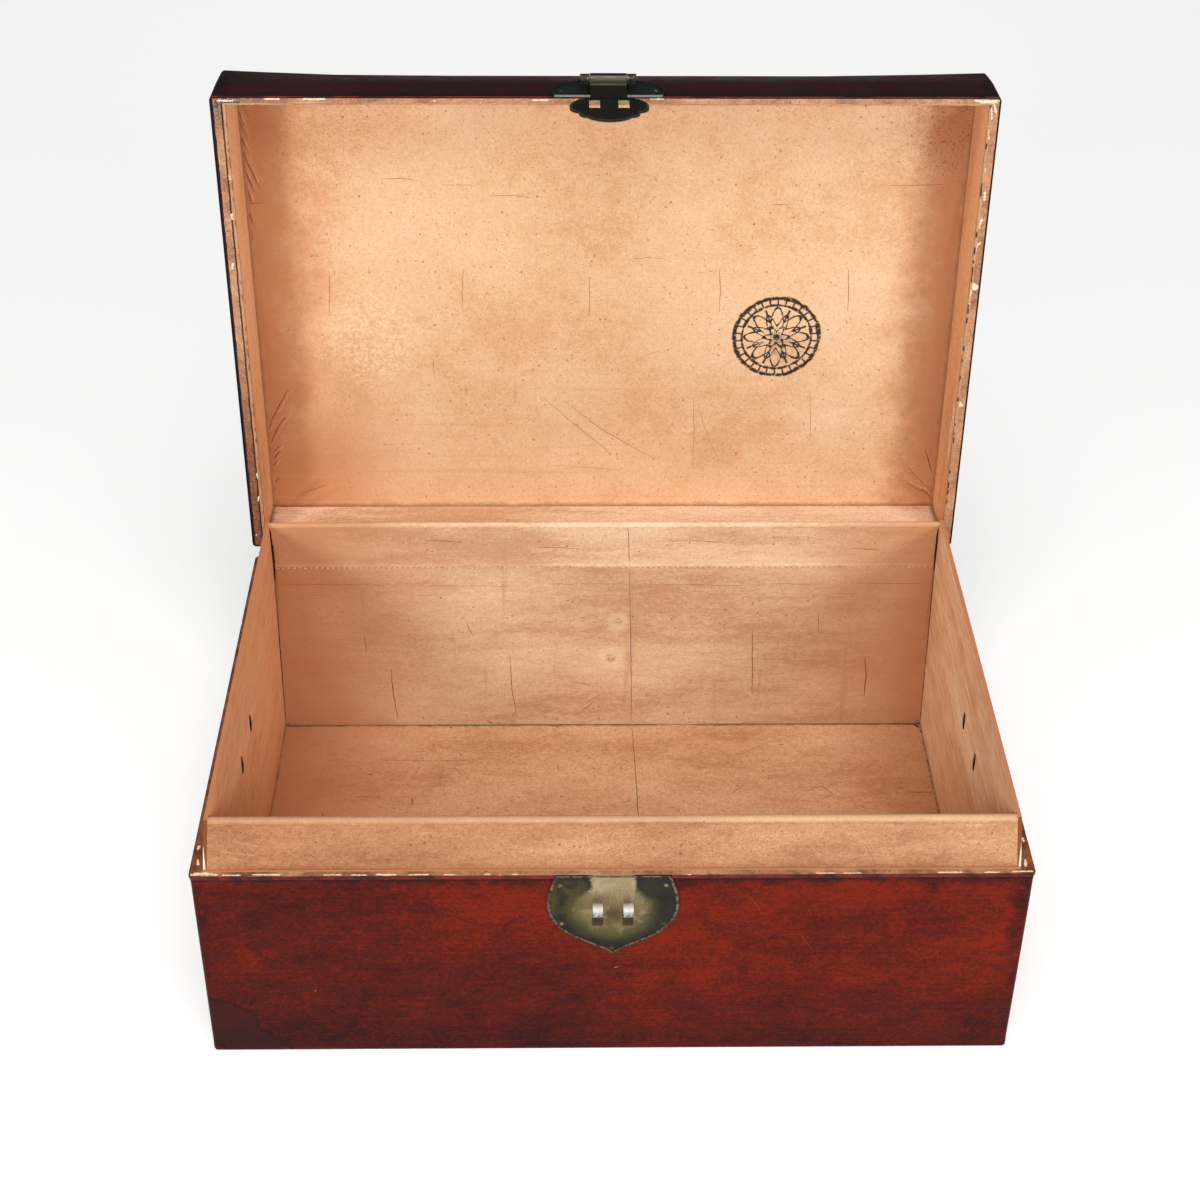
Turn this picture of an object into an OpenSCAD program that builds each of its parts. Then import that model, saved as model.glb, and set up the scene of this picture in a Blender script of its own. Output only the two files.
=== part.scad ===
// Leather camphor trunk: dovetailed camphor-wood case covered in lacquered leather,
// with a leaning lip that the lid drops over, a pierced lobed hasp on a shield lock plate,
// two strap hinges with stop heels and a drop handle at each end.
// The lid is drawn standing open. Origin: centre of the underside. Front faces -Y, +Z is up.

/* [Case] */
// Width of the case over the leather
case_w = 740; // [600:1:900]
// Depth of the case over the leather, front to back
case_d = 494; // [400:1:600]
// Height of the base, floor to rim
base_h = 222; // [180:1:320]
// Height of the lid, rim to top
lid_h = 84; // [76:1:140]
// Angle at which the lid stands open
lid_open = 92.5; // [90:0.5:100]
// Gap between the two rims when the lid is shut
rim_gap = 0.4; // [0.2:0.1:1]

/* [Boards and leather] */
// Thickness of the outer leather
leather_t = 1.5; // [1:0.1:2.2]
// Radius of the leather over the corners
corner_r = 4; // [3:0.5:6]
// Thickness of the base's left and right boards
end_board_t = 8.5; // [7:0.5:12]
// Thickness of the base's front and back boards
long_board_t = 6.5; // [5.5:0.5:9]
// Thickness of the floor board
floor_board_t = 8; // [6:0.5:12]
// Thickness of the lid's top board
top_board_t = 7; // [5:0.5:10]
// Thickness of the lid's left and right boards
lid_end_board_t = 6.5; // [5:0.5:9]
// Thickness of the lid's front and back boards
lid_long_board_t = 5; // [4:0.5:7]
// Thickness of the leather lining on the floor, the back and the lid's panel
lining_t = 1.5; // [1:0.1:2]
// Thickness of the lid's lining at the left and right
lid_end_lining_t = 2.5; // [1.5:0.1:3]
// Dovetails at each corner of the base
base_tails = 5; // [3:1:8]
// Dovetails at each corner of the lid
lid_tails = 3; // [2:1:5]
// Gap in the dovetails and between the butted hides
joint_gap = 0.1; // [0.05:0.01:0.2]

/* [Lip] */
// Height of the lip above the rim
lip_h = 53; // [30:1:60]
// How far the lip leans in over its height
lip_lean = 5; // [4:0.5:7]
// Thickness of the leather-covered front and back lips
lip_t = 7; // [6:0.5:9]
// Thickness of the bare side boards at the lip's top
side_lip_t = 4; // [3:0.5:6]
// Thickness of the leather on the lips
lip_skin = 1.2; // [0.8:0.1:1.6]
// Running gap between the lip and the shut lid
lip_clear = 0.5; // [0.4:0.1:1]
// Thickness of the side liners where they meet the floor
side_liner_foot_t = 6.5; // [5:0.5:9]
// How far the back liner's foot stands in from its top
back_liner_foot = 9; // [4:0.5:14]
// How far the covered lips lap into the side boards at their ends
lip_lap = 0.5; // [0.3:0.1:1]
// Depth of the stitched seam below the rim at the back
seam_drop = 4; // [2:0.5:10]
// Distance from the middle to the butted seam of the back and floor linings
seam_x = 30; // [0:1:200]
// Thickness of the leather binding on the rims
binding_t = 1; // [0.8:0.1:1.2]
// Height of the bead that the binding makes outside the rim
binding_leg = 4; // [3:0.5:8]

/* [Lock] */
// Thickness of the brass plates
plate_t = 1.2; // [1:0.1:2]
// Height of the raised edge on the brass plates
edge_t = 0.6; // [0.3:0.1:0.8]
// Width of the raised edge on the brass plates
edge_w = 2.4; // [1.5:0.1:3]
// Half width of the lock plates along the rim
plate_rim_half_w = 50.4; // [45:0.1:55]
// Half width of the lower plate at its widest
plate_half_w = 58.3; // [56:0.1:64]
// Depth below the rim at which the lower plate is widest
plate_wide_drop = 35; // [28:1:42]
// Height of the lower plate, rim to tip
plate_h = 93.8; // [86:0.1:110]
// Half width of the upper plate at its widest
hasp_plate_half_w = 54; // [52:0.1:58]
// Height above the rim at which the upper plate is widest
hasp_plate_wide_rise = 12; // [9:1:16]
// Height of the upper plate, rim to tip
hasp_plate_h = 49; // [46:0.5:60]
// Distance between the two staples
staple_pitch = 27; // [25:0.5:30]
// Depth of the staples below the rim
staple_drop = 34; // [32:0.5:36]
// Width of the staples' strip
staple_w = 9; // [7:0.5:9.5]
// Radius of the staples' eye
staple_eye_r = 4.6; // [4:0.1:4.9]
// Thickness of the staples' strip
strip_t = 1.3; // [1:0.1:1.5]
// How far the eye's centre stands out from the leather
staple_out = 9.5; // [9:0.1:10]
// Length of the staples' prongs, clinched inside the front
staple_prong = 10; // [6:0.5:14]

/* [Hasp] */
// Height of the hasp's hinge above the rim
hasp_rise = 32; // [30:0.5:36]
// How far the hasp's hinge stands out from the leather
hasp_out = 6.6; // [6.5:0.1:8]
// Radius of the hasp's barrel
hasp_barrel_r = 5.1; // [4.6:0.1:5.2]
// Radius of the knuckles on the upper plate
hasp_knuckle_r = 4.6; // [4:0.1:5]
// Radius of the hasp's pin
hasp_pin_r = 1.8; // [1.5:0.1:2.2]
// Half width of the hasp's neck
hasp_neck_half_w = 17.3; // [17:0.1:20]
// Width of each knuckle on the upper plate
hasp_knuckle_w = 9; // [7:0.5:11]
// Thickness of the hasp
hasp_t = 2; // [1.5:0.1:2.4]
// Distance from the leather to the back of the hasp
hasp_back = 4; // [3.6:0.1:4.4]
// Half width of the hasp's head at its side lobes
hasp_half_w = 36.7; // [34:0.1:40]
// Distance from the rim down to the hasp's tip
hasp_drop = 78.6; // [76:0.1:84]
// Width of the hasp's slots
slot_w = 10.2; // [9.9:0.1:11]
// Height of the hasp's slots
slot_h = 19.4; // [18.6:0.1:21]
// How far the slots' middle lies below the staples
slot_low = 1.5; // [0.5:0.1:2]
// Radial clearance of the pins in their bores
pin_clear = 0.05; // [0.03:0.01:0.1]

/* [Hinges] */
// Distance from the middle of the case to each hinge
hinge_x = 220; // [120:1:280]
// Width of the hinge leaves
leaf_w = 44; // [36:1:60]
// Height of the leaves' straight part
leaf_h = 22; // [16:1:26]
// Thickness of the hinge leaves
leaf_t = 1.5; // [1:0.1:1.8]
// How far the hinge pin stands behind the case
pivot_out = 7; // [7:0.1:8]
// Radius of the hinge knuckles
knuckle_r = 5; // [4.5:0.1:5.2]
// Radius of the hinge pins
hinge_pin_r = 2.4; // [2:0.1:2.8]
// Width of the lid's middle knuckle
lid_knuckle_w = 15.6; // [12:0.2:20]
// Length of the stop heel on the lid's knuckle
heel_l = 8.5; // [7:0.5:10]
// Thickness of the stop heel
heel_t = 2.5; // [2:0.1:3]
// Gap that is left at the heel and between knuckles
knuckle_gap = 0.3; // [0.2:0.05:0.4]

/* [Handles] */
// Distance between a handle's two posts
post_pitch = 63; // [50:1:90]
// How far the handles sit in front of the case's middle
handle_shift = 22; // [0:1:60]
// Depth of the handles' pivots below the rim
handle_drop = 36; // [30:1:60]
// Radius of the bail's rod
rod_r = 2.5; // [2:0.1:3]
// Radius of the bail's grip
grip_r = 3.6; // [3.1:0.1:4]
// Distance from the bail's pivot down to its grip
bail_drop = 34; // [28:1:45]
// Width of the posts' strip
post_w = 4; // [3:0.5:5]
// Wall of the posts' eyes
post_wall = 1.45; // [1.2:0.05:1.6]
// Length of the posts' prongs, clinched inside the ends
post_prong = 8; // [5:0.5:12]
// Radius of the bail's lower corners
bail_corner_r = 11; // [8:0.5:14]
// Radius of the round roses behind the posts
rose_r = 9.5; // [8:0.5:11]

/* [Nails] */
// Radius of the nails' domed heads
nail_head_r = 2.1; // [1.8:0.1:2.4]
// Radius of the nails' shanks
nail_r = 0.9; // [0.6:0.05:1.1]
// Depth that the nails reach below the leather's face
nail_depth = 5.5; // [4:0.5:5.5]
// Clearance of shanks and prongs in their holes
hole_clear = 0.15; // [0.1:0.05:0.25]

/* [Hidden] */
$fn = 48;

// Colours of the finishes
lacquer = [0.42, 0.11, 0.07];
dark_lacquer = [0.20, 0.07, 0.07];
tan_leather = [0.86, 0.64, 0.43];
camphor_wood = [0.78, 0.53, 0.34];
old_brass = [0.36, 0.33, 0.22];
dark_bronze = [0.14, 0.13, 0.11];
worn_steel = [0.72, 0.73, 0.75];
nail_brass = [0.70, 0.62, 0.42];

// Distance that cutting solids run past the faces they cut
cut = 1;

// Gap between a clinched prong and the face it lies on
seat_gap = 0.1;

// Base carcass: half sizes to the boards' outer and inner faces
board_x = case_w / 2 - leather_t;
board_y = case_d / 2 - leather_t;
bay_x = board_x - end_board_t;
bay_y = board_y - long_board_t;
floor_top = leather_t + floor_board_t;
floor_face = floor_top + lining_t;
rim_board_z = base_h - binding_t;
wall_h = rim_board_z - floor_top;

// Lid carcass
lid_z = base_h + rim_gap;
lid_bay_x = board_x - lid_end_board_t;
lid_bay_y = board_y - lid_long_board_t;
lid_room_x = lid_bay_x - lid_end_lining_t;
lid_room_y = lid_bay_y - lining_t;
lid_top_z = lid_z + lid_h;
top_board_z = lid_top_z - leather_t - top_board_t;
lid_wall_z = lid_z + binding_t;
lid_wall_h = top_board_z - lid_wall_z;

// Lip: half sizes to its outer faces at the rim, where the lid's walls just clear it
lip_x = lid_room_x - lip_clear;
lip_y = lid_room_y - lip_clear;
lip_top = base_h + lip_h;
side_foot_x = bay_x - side_liner_foot_t;
side_top_x = lip_x - lip_lean - side_lip_t;
lip_end_x = lip_x - side_lip_t + lip_lap;
lip_inner_y = lip_y - lip_t;
back_foot_y = lip_inner_y - back_liner_foot;
round_r = lip_t / 2;
round_z = lip_top - round_r;
seam_z = base_h - seam_drop;

// Hinge axis
hinge_y = case_d / 2 + pivot_out;

// Lock places
face_y = -case_d / 2;
front_wall = case_d / 2 - lip_inner_y;
plate_top = plate_t + edge_t;
staple_z = base_h - staple_drop;
hasp_z = lid_z + hasp_rise;
slot_z = staple_z - slot_low;

// Handle places
handle_z = base_h - handle_drop;
eye_r = rod_r + pin_clear + post_wall;
eye_out = plate_t + eye_r;
bend_r = rod_r + 1;
leg_y = post_pitch / 2 + post_w / 2 + knuckle_gap + bend_r;

// Nail places, as [across, up] from the middle of the rim or of the hinge
lock_nails = [[-46.5, -12], [46.5, -12], [-45.5, -57.5], [45.5, -57.5], [0, -88]];
hasp_nails = [[-45, 13.5], [45, 13.5], [0, 43]];
leaf_nails = [[-leaf_w / 2 + 7, -13], [leaf_w / 2 - 7, -13], [0, -leaf_h - leaf_w / 4]];

// Points along a cubic curve
function curve(a, b, c, d, n = 10) = [for (i = [0 : n]) let (t = i / n, s = 1 - t)
    s * s * s * a + 3 * s * s * t * b + 3 * s * t * t * c + t * t * t * d];

// Half outline of a shield plate from the rim down to its tip
function shield_half(rim, wide, z_wide, h) = concat(
    curve([rim, 0], [(rim + wide) / 2, -0.29 * z_wide], [wide, -0.63 * z_wide],
        [wide, -z_wide]),
    curve([wide, -z_wide], [wide, -0.6 * z_wide - 0.31 * h], [0.82 * wide, -0.69 * h],
        [0.635 * wide, -0.762 * h]),
    curve([0.635 * wide, -0.762 * h], [0.446 * wide, -0.848 * h],
        [0.154 * wide, -0.917 * h], [0, -h]));

// Closed outline from a half outline that starts and ends at any x
function mirrored(half) = concat(half, [for (i = [len(half) - 1 : -1 : 0])
    [-half[i][0], half[i][1]]]);

// Half outline of the lobed hasp, from its barrel down to its tip
function hasp_half() = let (w = hasp_half_w, n = hasp_neck_half_w, d = hasp_drop)
    concat([[n, hasp_rise], [n, -0.23 * d]],
        curve([n, -0.23 * d], [n + 3, -0.22 * d], [0.62 * w, -0.24 * d],
            [0.67 * w, -0.29 * d], 6),
        curve([0.67 * w, -0.29 * d], [0.78 * w, -0.27 * d], [w, -0.40 * d],
            [w, -0.55 * d], 10),
        curve([w, -0.55 * d], [w, -0.64 * d], [0.88 * w, -0.71 * d],
            [0.76 * w, -0.71 * d], 8),
        curve([0.76 * w, -0.71 * d], [0.80 * w, -0.79 * d], [0.68 * w, -0.87 * d],
            [0.54 * w, -0.86 * d], 8),
        curve([0.54 * w, -0.86 * d], [0.42 * w, -0.97 * d], [0.15 * w, -d],
            [0, -d], 8));

// Stands a flat outline up on a face that looks to -Y, with z as its height
module on_front(z) {
    translate([0, face_y, z]) rotate([90, 0, 0]) children();
}

// Same on the back face, seen from behind
module on_back(z) {
    translate([0, case_d / 2, z]) rotate([90, 0, 180]) children();
}

// Swings a closed-lid piece open about the hinges
module in_lid() {
    translate([0, hinge_y, base_h]) rotate([-lid_open, 0, 0])
        translate([0, -hinge_y, -base_h]) children();
}

// Extrudes an outline that is drawn across y and up z, along X, centred
module along_x(len) {
    rotate([90, 0, 90]) linear_extrude(len, center = true) children();
}

// Extrudes an outline that is drawn across x and up z, along Y, centred
module along_y(len) {
    rotate([90, 0, 0]) linear_extrude(len, center = true) children();
}

module centred_box(x, y, z0, z1) {
    translate([-x, -y, z0]) cube([2 * x, 2 * y, z1 - z0]);
}

module round_rect(w, d, r) {
    square([w - 2 * r, d], center = true);
    square([w, d - 2 * r], center = true);
    for (sx = [-1, 1], sy = [-1, 1])
        translate([sx * (w / 2 - r), sy * (d / 2 - r)]) circle(r);
}

// Row of dovetails in the plane across y and up z, flaring from y = 0 to y = deep
module tail_row(h, n, deep, grow, past) {
    pitch = h / n;
    root = 0.27 * pitch + grow;
    flare = 0.08 * pitch;
    for (i = [0 : n - 1]) {
        zc = (i + 0.5) * pitch;
        w0 = root - flare * past / deep;
        w1 = root + flare * (deep + past) / deep;
        polygon([[-past, zc - w0], [deep + past, zc - w1], [deep + past, zc + w1],
            [-past, zc + w0]]);
    }
}

// Left or right board with its tails: side is -1 or 1
module tailed_board(side, t, in_y, deep, z, h, n) {
    translate([side * (board_x - t / 2), 0, z]) {
        translate([-t / 2, -in_y, 0]) cube([t, 2 * in_y, h]);
        for (s = [-1, 1]) translate([0, s * in_y, 0]) mirror([0, s < 0 ? 1 : 0, 0])
            along_x(t) tail_row(h, n, deep, 0, 0);
    }
}

// Front or back board with its sockets: side is -1 or 1
module socket_board(side, t, end_t, in_y, z, h, n) {
    difference() {
        translate([-board_x, side > 0 ? in_y : -in_y - t, z]) cube([2 * board_x, t, h]);
        for (sx = [-1, 1])
            translate([sx * (board_x - (end_t - cut) / 2), side * in_y, z])
                mirror([0, side < 0 ? 1 : 0, 0])
                    along_x(end_t + cut) tail_row(h, n, t, joint_gap, cut);
    }
}

// Domed nail that stands on a plate, pointing into the case along -Z
module nail(plate) {
    dome_r = 1.45 * nail_head_r;
    translate([0, 0, plate]) intersection() {
        translate([0, 0, -nail_head_r]) sphere(dome_r);
        cylinder(r = nail_head_r, h = dome_r);
    }
    translate([0, 0, -nail_depth]) cylinder(r = nail_r, h = nail_depth + plate + 0.1);
}

module nail_holes(places) {
    deep = nail_depth + hole_clear;
    for (p = places) translate([p[0], p[1], -deep])
        cylinder(r = nail_r + hole_clear, h = deep + leaf_t + plate_top);
}

// Holes that the lock's nails and staples take out of plate, leather, board and liner
module lock_cuts() {
    on_front(base_h) {
        nail_holes(lock_nails);
        for (s = [-1, 1]) translate([s * staple_pitch / 2, -staple_drop, -front_wall - cut])
            linear_extrude(front_wall + plate_top + 2 * cut)
                square([staple_w + 2 * hole_clear, 2 * strip_t + 2 * hole_clear],
                    center = true);
    }
}

module hasp_nail_cuts() {
    on_front(lid_z) nail_holes(hasp_nails);
}

module base_hinge_cuts() {
    for (s = [-1, 1]) translate([s * hinge_x, 0, 0]) on_back(base_h) nail_holes(leaf_nails);
}

module lid_hinge_cuts() {
    for (s = [-1, 1]) translate([s * hinge_x, 0, 0])
        on_back(base_h) mirror([0, 1, 0]) nail_holes(leaf_nails);
}

// Holes for the handle posts through rose, leather, end board and side liner
module handle_cuts() {
    through = case_w / 2 - side_top_x + plate_t + 2 * cut;
    for (s = [-1, 1], p = [-1, 1])
        translate([s * (side_top_x - cut + through / 2), p * post_pitch / 2 - handle_shift,
            handle_z])
            cube([through, post_w + 2 * hole_clear, 2 * strip_t + 2 * hole_clear],
                center = true);
}

module base_floor_board() {
    color(camphor_wood) centred_box(board_x, board_y, leather_t, floor_top);
}

module base_long_board(side) {
    color(camphor_wood) difference() {
        socket_board(side, long_board_t, end_board_t, bay_y, floor_top, wall_h,
            base_tails);
        if (side < 0) lock_cuts(); else base_hinge_cuts();
    }
}

module base_end_board(side) {
    color(camphor_wood) difference() {
        tailed_board(side, end_board_t, bay_y, long_board_t, floor_top, wall_h,
            base_tails);
        handle_cuts();
    }
}

module base_leather_cover() {
    color(lacquer) difference() {
        linear_extrude(rim_board_z) round_rect(case_w, case_d, corner_r);
        centred_box(board_x, board_y, -cut, base_h);
        lock_cuts();
        base_hinge_cuts();
        handle_cuts();
    }
}

module base_bottom_leather() {
    color(dark_lacquer) centred_box(board_x, board_y, 0, leather_t);
}

// Binding over the base's rim: a flat top and an outer bead, trimmed round the brass
module base_rim_binding() {
    color(dark_lacquer) difference() {
        union() {
            translate([0, 0, rim_board_z]) linear_extrude(binding_t)
                round_rect(case_w + 2 * binding_t, case_d + 2 * binding_t,
                    corner_r + binding_t);
            translate([0, 0, base_h - binding_leg]) linear_extrude(binding_leg)
                round_rect(case_w + 2 * binding_t, case_d + 2 * binding_t,
                    corner_r + binding_t);
        }
        translate([0, 0, base_h - binding_leg - cut])
            linear_extrude(binding_leg - binding_t + cut)
                round_rect(case_w, case_d, corner_r);
        centred_box(lip_x, lip_y, rim_board_z - cut, base_h + cut);
        on_front(base_h) linear_extrude(2 * binding_t) {
            lock_outline(cut);
            translate([0, -binding_t / 2])
                square([2 * (plate_rim_half_w + cut), 2 * binding_t], center = true);
        }
        for (s = [-1, 1])
            translate([s * hinge_x - leaf_w / 2 - cut, case_d / 2, 0])
                cube([leaf_w + 2 * cut, 2 * binding_t, base_h + cut]);
    }
}

// Bare side board: a wedge below the rim, a thin leaning lip above it,
// rebated at both ends for the leather-covered lips
module side_liner(side) {
    color(camphor_wood) difference() {
        mirror([side < 0 ? 1 : 0, 0, 0]) intersection() {
            along_y(2 * bay_y) polygon([[side_foot_x, floor_top], [bay_x, floor_top],
                [bay_x, rim_board_z], [lip_x, rim_board_z],
                [lip_x - lip_lean, lip_top], [side_top_x, lip_top]]);
            along_x(2 * case_w) polygon([[-bay_y, floor_top], [bay_y, floor_top],
                [bay_y, rim_board_z], [lip_y, rim_board_z],
                [lip_y - lip_lean, round_z], [lip_y - lip_lean, lip_top],
                [-lip_y + lip_lean, lip_top], [-lip_y + lip_lean, round_z],
                [-lip_y, rim_board_z], [-bay_y, rim_board_z]]);
        }
        lip_ends(-1) lip_outline(0);
        lip_ends(1) lip_outline(back_liner_foot);
        handle_cuts();
    }
}

// Whole section of a covered lip and its liner: y is measured out from the case's middle,
// and foot is how far the liner stands in at the floor
module lip_outline(foot) {
    polygon([[lip_inner_y - foot, floor_top], [bay_y + cut, floor_top],
        [bay_y + cut, base_h], [lip_y, base_h], [lip_y - lip_lean, round_z],
        [lip_y - lip_lean, lip_top + cut], [lip_inner_y - lip_lean, lip_top + cut],
        [lip_inner_y - lip_lean, round_z], [lip_inner_y, base_h]]);
}

// Runs a lip section between the two bare side boards: side -1 is the front
module lip_ends(side) {
    intersection() {
        mirror([0, side < 0 ? 1 : 0, 0]) along_x(2 * case_w) children();
        along_y(2 * case_d) polygon(mirrored([[side_foot_x, floor_top - cut],
            [side_foot_x, rim_board_z], [lip_end_x, base_h],
            [lip_end_x - lip_lean, lip_top], [lip_end_x - lip_lean, lip_top + 2 * cut]]));
    }
}

// Section of the covered lip with its rounded top
module lip_skin_outline(foot) {
    polygon([[lip_inner_y - foot, floor_top], [bay_y, floor_top], [bay_y, rim_board_z],
        [lip_y, rim_board_z], [lip_y, base_h], [lip_y - lip_lean, round_z],
        [lip_inner_y - lip_lean, round_z], [lip_inner_y, base_h]]);
    translate([lip_y - lip_lean - round_r, round_z]) circle(round_r);
}

// Section of the wooden core inside it
module lip_core_outline(foot) {
    polygon([[lip_inner_y - foot + lip_skin, floor_top], [bay_y, floor_top],
        [bay_y, rim_board_z], [lip_y - lip_skin, rim_board_z],
        [lip_y - lip_lean - lip_skin, round_z], [lip_inner_y - lip_lean + lip_skin, round_z],
        [lip_inner_y + lip_skin, base_h]]);
    translate([lip_y - lip_lean - round_r, round_z]) circle(round_r - lip_skin);
}

module front_liner_board() {
    color(camphor_wood) difference() {
        lip_ends(-1) lip_core_outline(0);
        lock_cuts();
    }
}

module front_liner_leather() {
    color(tan_leather) difference() {
        lip_ends(-1) difference() {
            lip_skin_outline(0);
            lip_core_outline(0);
            square([case_d, floor_face]);
        }
        lock_cuts();
    }
}

module back_liner_board() {
    color(camphor_wood) lip_ends(1) lip_core_outline(back_liner_foot);
}

// Leather of the back lip, down to its seam below the rim
module back_lip_leather() {
    color(tan_leather) lip_ends(1) difference() {
        lip_skin_outline(back_liner_foot);
        lip_core_outline(back_liner_foot);
        square([case_d, seam_z]);
    }
}

// Leather on the back wall below the seam, in two hides that butt near the middle
module back_lining(side) {
    color(tan_leather) intersection() {
        lip_ends(1) difference() {
            lip_skin_outline(back_liner_foot);
            lip_core_outline(back_liner_foot);
            square([case_d, floor_face]);
            translate([0, seam_z - joint_gap]) square([case_d, base_h]);
        }
        half_room(side);
    }
}

// Half of the room to one side of the butted seam
module half_room(side) {
    translate([seam_x + (side > 0 ? joint_gap / 2 : -case_w - joint_gap / 2), -case_d, 0])
        cube([case_w, 2 * case_d, base_h]);
}

module floor_lining(side) {
    color(tan_leather) intersection() {
        translate([-side_foot_x, -lip_inner_y, floor_top])
            cube([2 * side_foot_x, lip_inner_y + back_foot_y, lining_t]);
        half_room(side);
    }
}

// Outline of the lower plate, or of a notch that stands clear of it all round
module lock_outline(clear = 0) {
    polygon(mirrored(shield_half(plate_rim_half_w + clear, plate_half_w + clear,
        plate_wide_drop, plate_h)));
}

module hasp_plate_outline() {
    mirror([0, 1]) polygon(mirrored(shield_half(plate_rim_half_w, hasp_plate_half_w,
        hasp_plate_wide_rise, hasp_plate_h)));
}

// Flat plate with a raised edge, which shrinks from the half width towards a centre
module edged_plate(t, half_w, centre) {
    linear_extrude(t) children();
    linear_extrude(t + edge_t) difference() {
        children();
        translate(centre) scale(1 - edge_w / half_w) translate(-centre) children();
    }
}

module lock_plate() {
    color(old_brass) difference() {
        on_front(base_h) edged_plate(plate_t, plate_half_w, [0, -0.43 * plate_h])
            lock_outline();
        lock_cuts();
    }
}

// Side view of two legs with their tips clinched: legs run along y from out to -in,
// and the prongs lie on the face at -in, bent up and down
module clinched_legs(out, in, prong) {
    back = -in - seat_gap;
    tip = back - 0.45 * strip_t;
    polygon([[out, -strip_t], [back, -strip_t], [back, -strip_t - prong],
        [tip, -strip_t - prong], [back - strip_t, 0], [tip, strip_t + prong],
        [back, strip_t + prong], [back, strip_t], [out, strip_t]]);
}

// Split staple: a round eye, two legs through the front and prongs clinched inside
module lock_staple(side) {
    color(worn_steel) translate([side * staple_pitch / 2, face_y, staple_z])
        mirror([0, 1, 0]) difference() {
            union() {
                translate([0, staple_out, 0]) rotate([0, 90, 0])
                    cylinder(r = staple_eye_r + strip_t, h = staple_w, center = true);
                along_x(staple_w)
                    clinched_legs(staple_out - staple_eye_r, front_wall, staple_prong);
            }
            translate([0, staple_out, 0]) rotate([0, 90, 0])
                cylinder(r = staple_eye_r, h = staple_w + 2 * cut, center = true);
        }
}

module lock_plate_nails() {
    color(nail_brass) on_front(base_h) for (p = lock_nails)
        translate([p[0], p[1], 0]) nail(plate_t);
}

module hasp_plate() {
    knuckle_x = hasp_neck_half_w + knuckle_gap + hasp_knuckle_w / 2;
    color(dark_bronze) in_lid() difference() {
        union() {
            on_front(lid_z) edged_plate(plate_t, hasp_plate_half_w, [0, 0.43 * hasp_plate_h])
                hasp_plate_outline();
            for (s = [-1, 1]) translate([s * knuckle_x, face_y - hasp_out, hasp_z]) {
                rotate([0, 90, 0]) cylinder(r = hasp_knuckle_r, h = hasp_knuckle_w,
                    center = true);
                translate([0, hasp_out / 2, 0])
                    cube([hasp_knuckle_w, hasp_out, 1.6 * hasp_knuckle_r], center = true);
            }
        }
        hasp_bore();
        hasp_nail_cuts();
    }
}

module hasp_bore() {
    translate([0, face_y - hasp_out, hasp_z]) rotate([0, 90, 0])
        cylinder(r = hasp_pin_r + pin_clear, h = case_w / 2, center = true);
}

module hasp_plate_nails() {
    color(nail_brass) in_lid() on_front(lid_z) for (p = hasp_nails)
        translate([p[0], p[1], 0]) nail(plate_t);
}

// Pin with a peened head at each end
module headed_pin(r, half_l) {
    peen = 0.8;
    rotate([0, 90, 0]) {
        cylinder(r = r, h = 2 * half_l, center = true);
        for (s = [-1, 1]) translate([0, 0, s * (half_l + peen / 2)])
            cylinder(r = r + peen, h = peen, center = true);
    }
}

module hasp_pin() {
    color(worn_steel) in_lid() translate([0, face_y - hasp_out, hasp_z])
        headed_pin(hasp_pin_r, hasp_neck_half_w + knuckle_gap + hasp_knuckle_w + seat_gap);
}

// Lobed hasp: rolled barrel, neck and a head pierced by two slots
module hasp() {
    color(dark_bronze) in_lid() difference() {
        union() {
            translate([0, face_y - hasp_out, hasp_z]) rotate([0, 90, 0])
                cylinder(r = hasp_barrel_r, h = 2 * hasp_neck_half_w, center = true);
            translate([0, -hasp_back, 0]) on_front(lid_z) {
                linear_extrude(hasp_t) polygon(mirrored(hasp_half()));
                linear_extrude(hasp_t + edge_t / 2) difference() {
                    hasp_head(1);
                    hasp_head(1 - edge_w / hasp_half_w);
                }
            }
        }
        hasp_bore();
        for (s = [-1, 1])
            translate([s * staple_pitch / 2, face_y - hasp_back, slot_z])
                cube([slot_w, 4 * hasp_t, slot_h], center = true);
    }
}

// Lobed head alone, shrunk towards its middle
module hasp_head(k) {
    mid = [0, -0.55 * hasp_drop];
    translate(mid) scale(k) translate(-mid) intersection() {
        polygon(mirrored(hasp_half()));
        translate([-case_w / 2, -2 * hasp_drop]) square([case_w, 1.77 * hasp_drop]);
    }
}

// Outline of a strap leaf below the hinge axis: straight, then a round tongue
module leaf_outline(start) {
    translate([-leaf_w / 2, -leaf_h]) square([leaf_w, leaf_h - start]);
    intersection() {
        translate([0, -leaf_h]) circle(leaf_w / 2);
        translate([-leaf_w, -leaf_h - leaf_w]) square([2 * leaf_w, leaf_w + cut]);
    }
}

// Knuckles between two places along the leaf, with the strap that wraps into them.
// y runs out from the case's back face, z is measured from the axis.
module knuckle(x0, x1) {
    translate([(x0 + x1) / 2, 0, 0]) along_x(x1 - x0) {
        translate([pivot_out, 0]) circle(knuckle_r);
        polygon([[0, 0], [0, -2 * knuckle_r], [leaf_t, -2 * knuckle_r],
            [pivot_out - 0.6 * knuckle_r, -0.8 * knuckle_r], [pivot_out, 0]]);
    }
}

module leaf_plate() {
    rotate([90, 0, 180]) difference() {
        linear_extrude(leaf_t) leaf_outline(knuckle_gap);
        nail_holes(leaf_nails);
    }
}

module hinge_bore() {
    translate([0, pivot_out, 0]) rotate([0, 90, 0])
        cylinder(r = hinge_pin_r + pin_clear, h = 2 * leaf_w, center = true);
}

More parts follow.
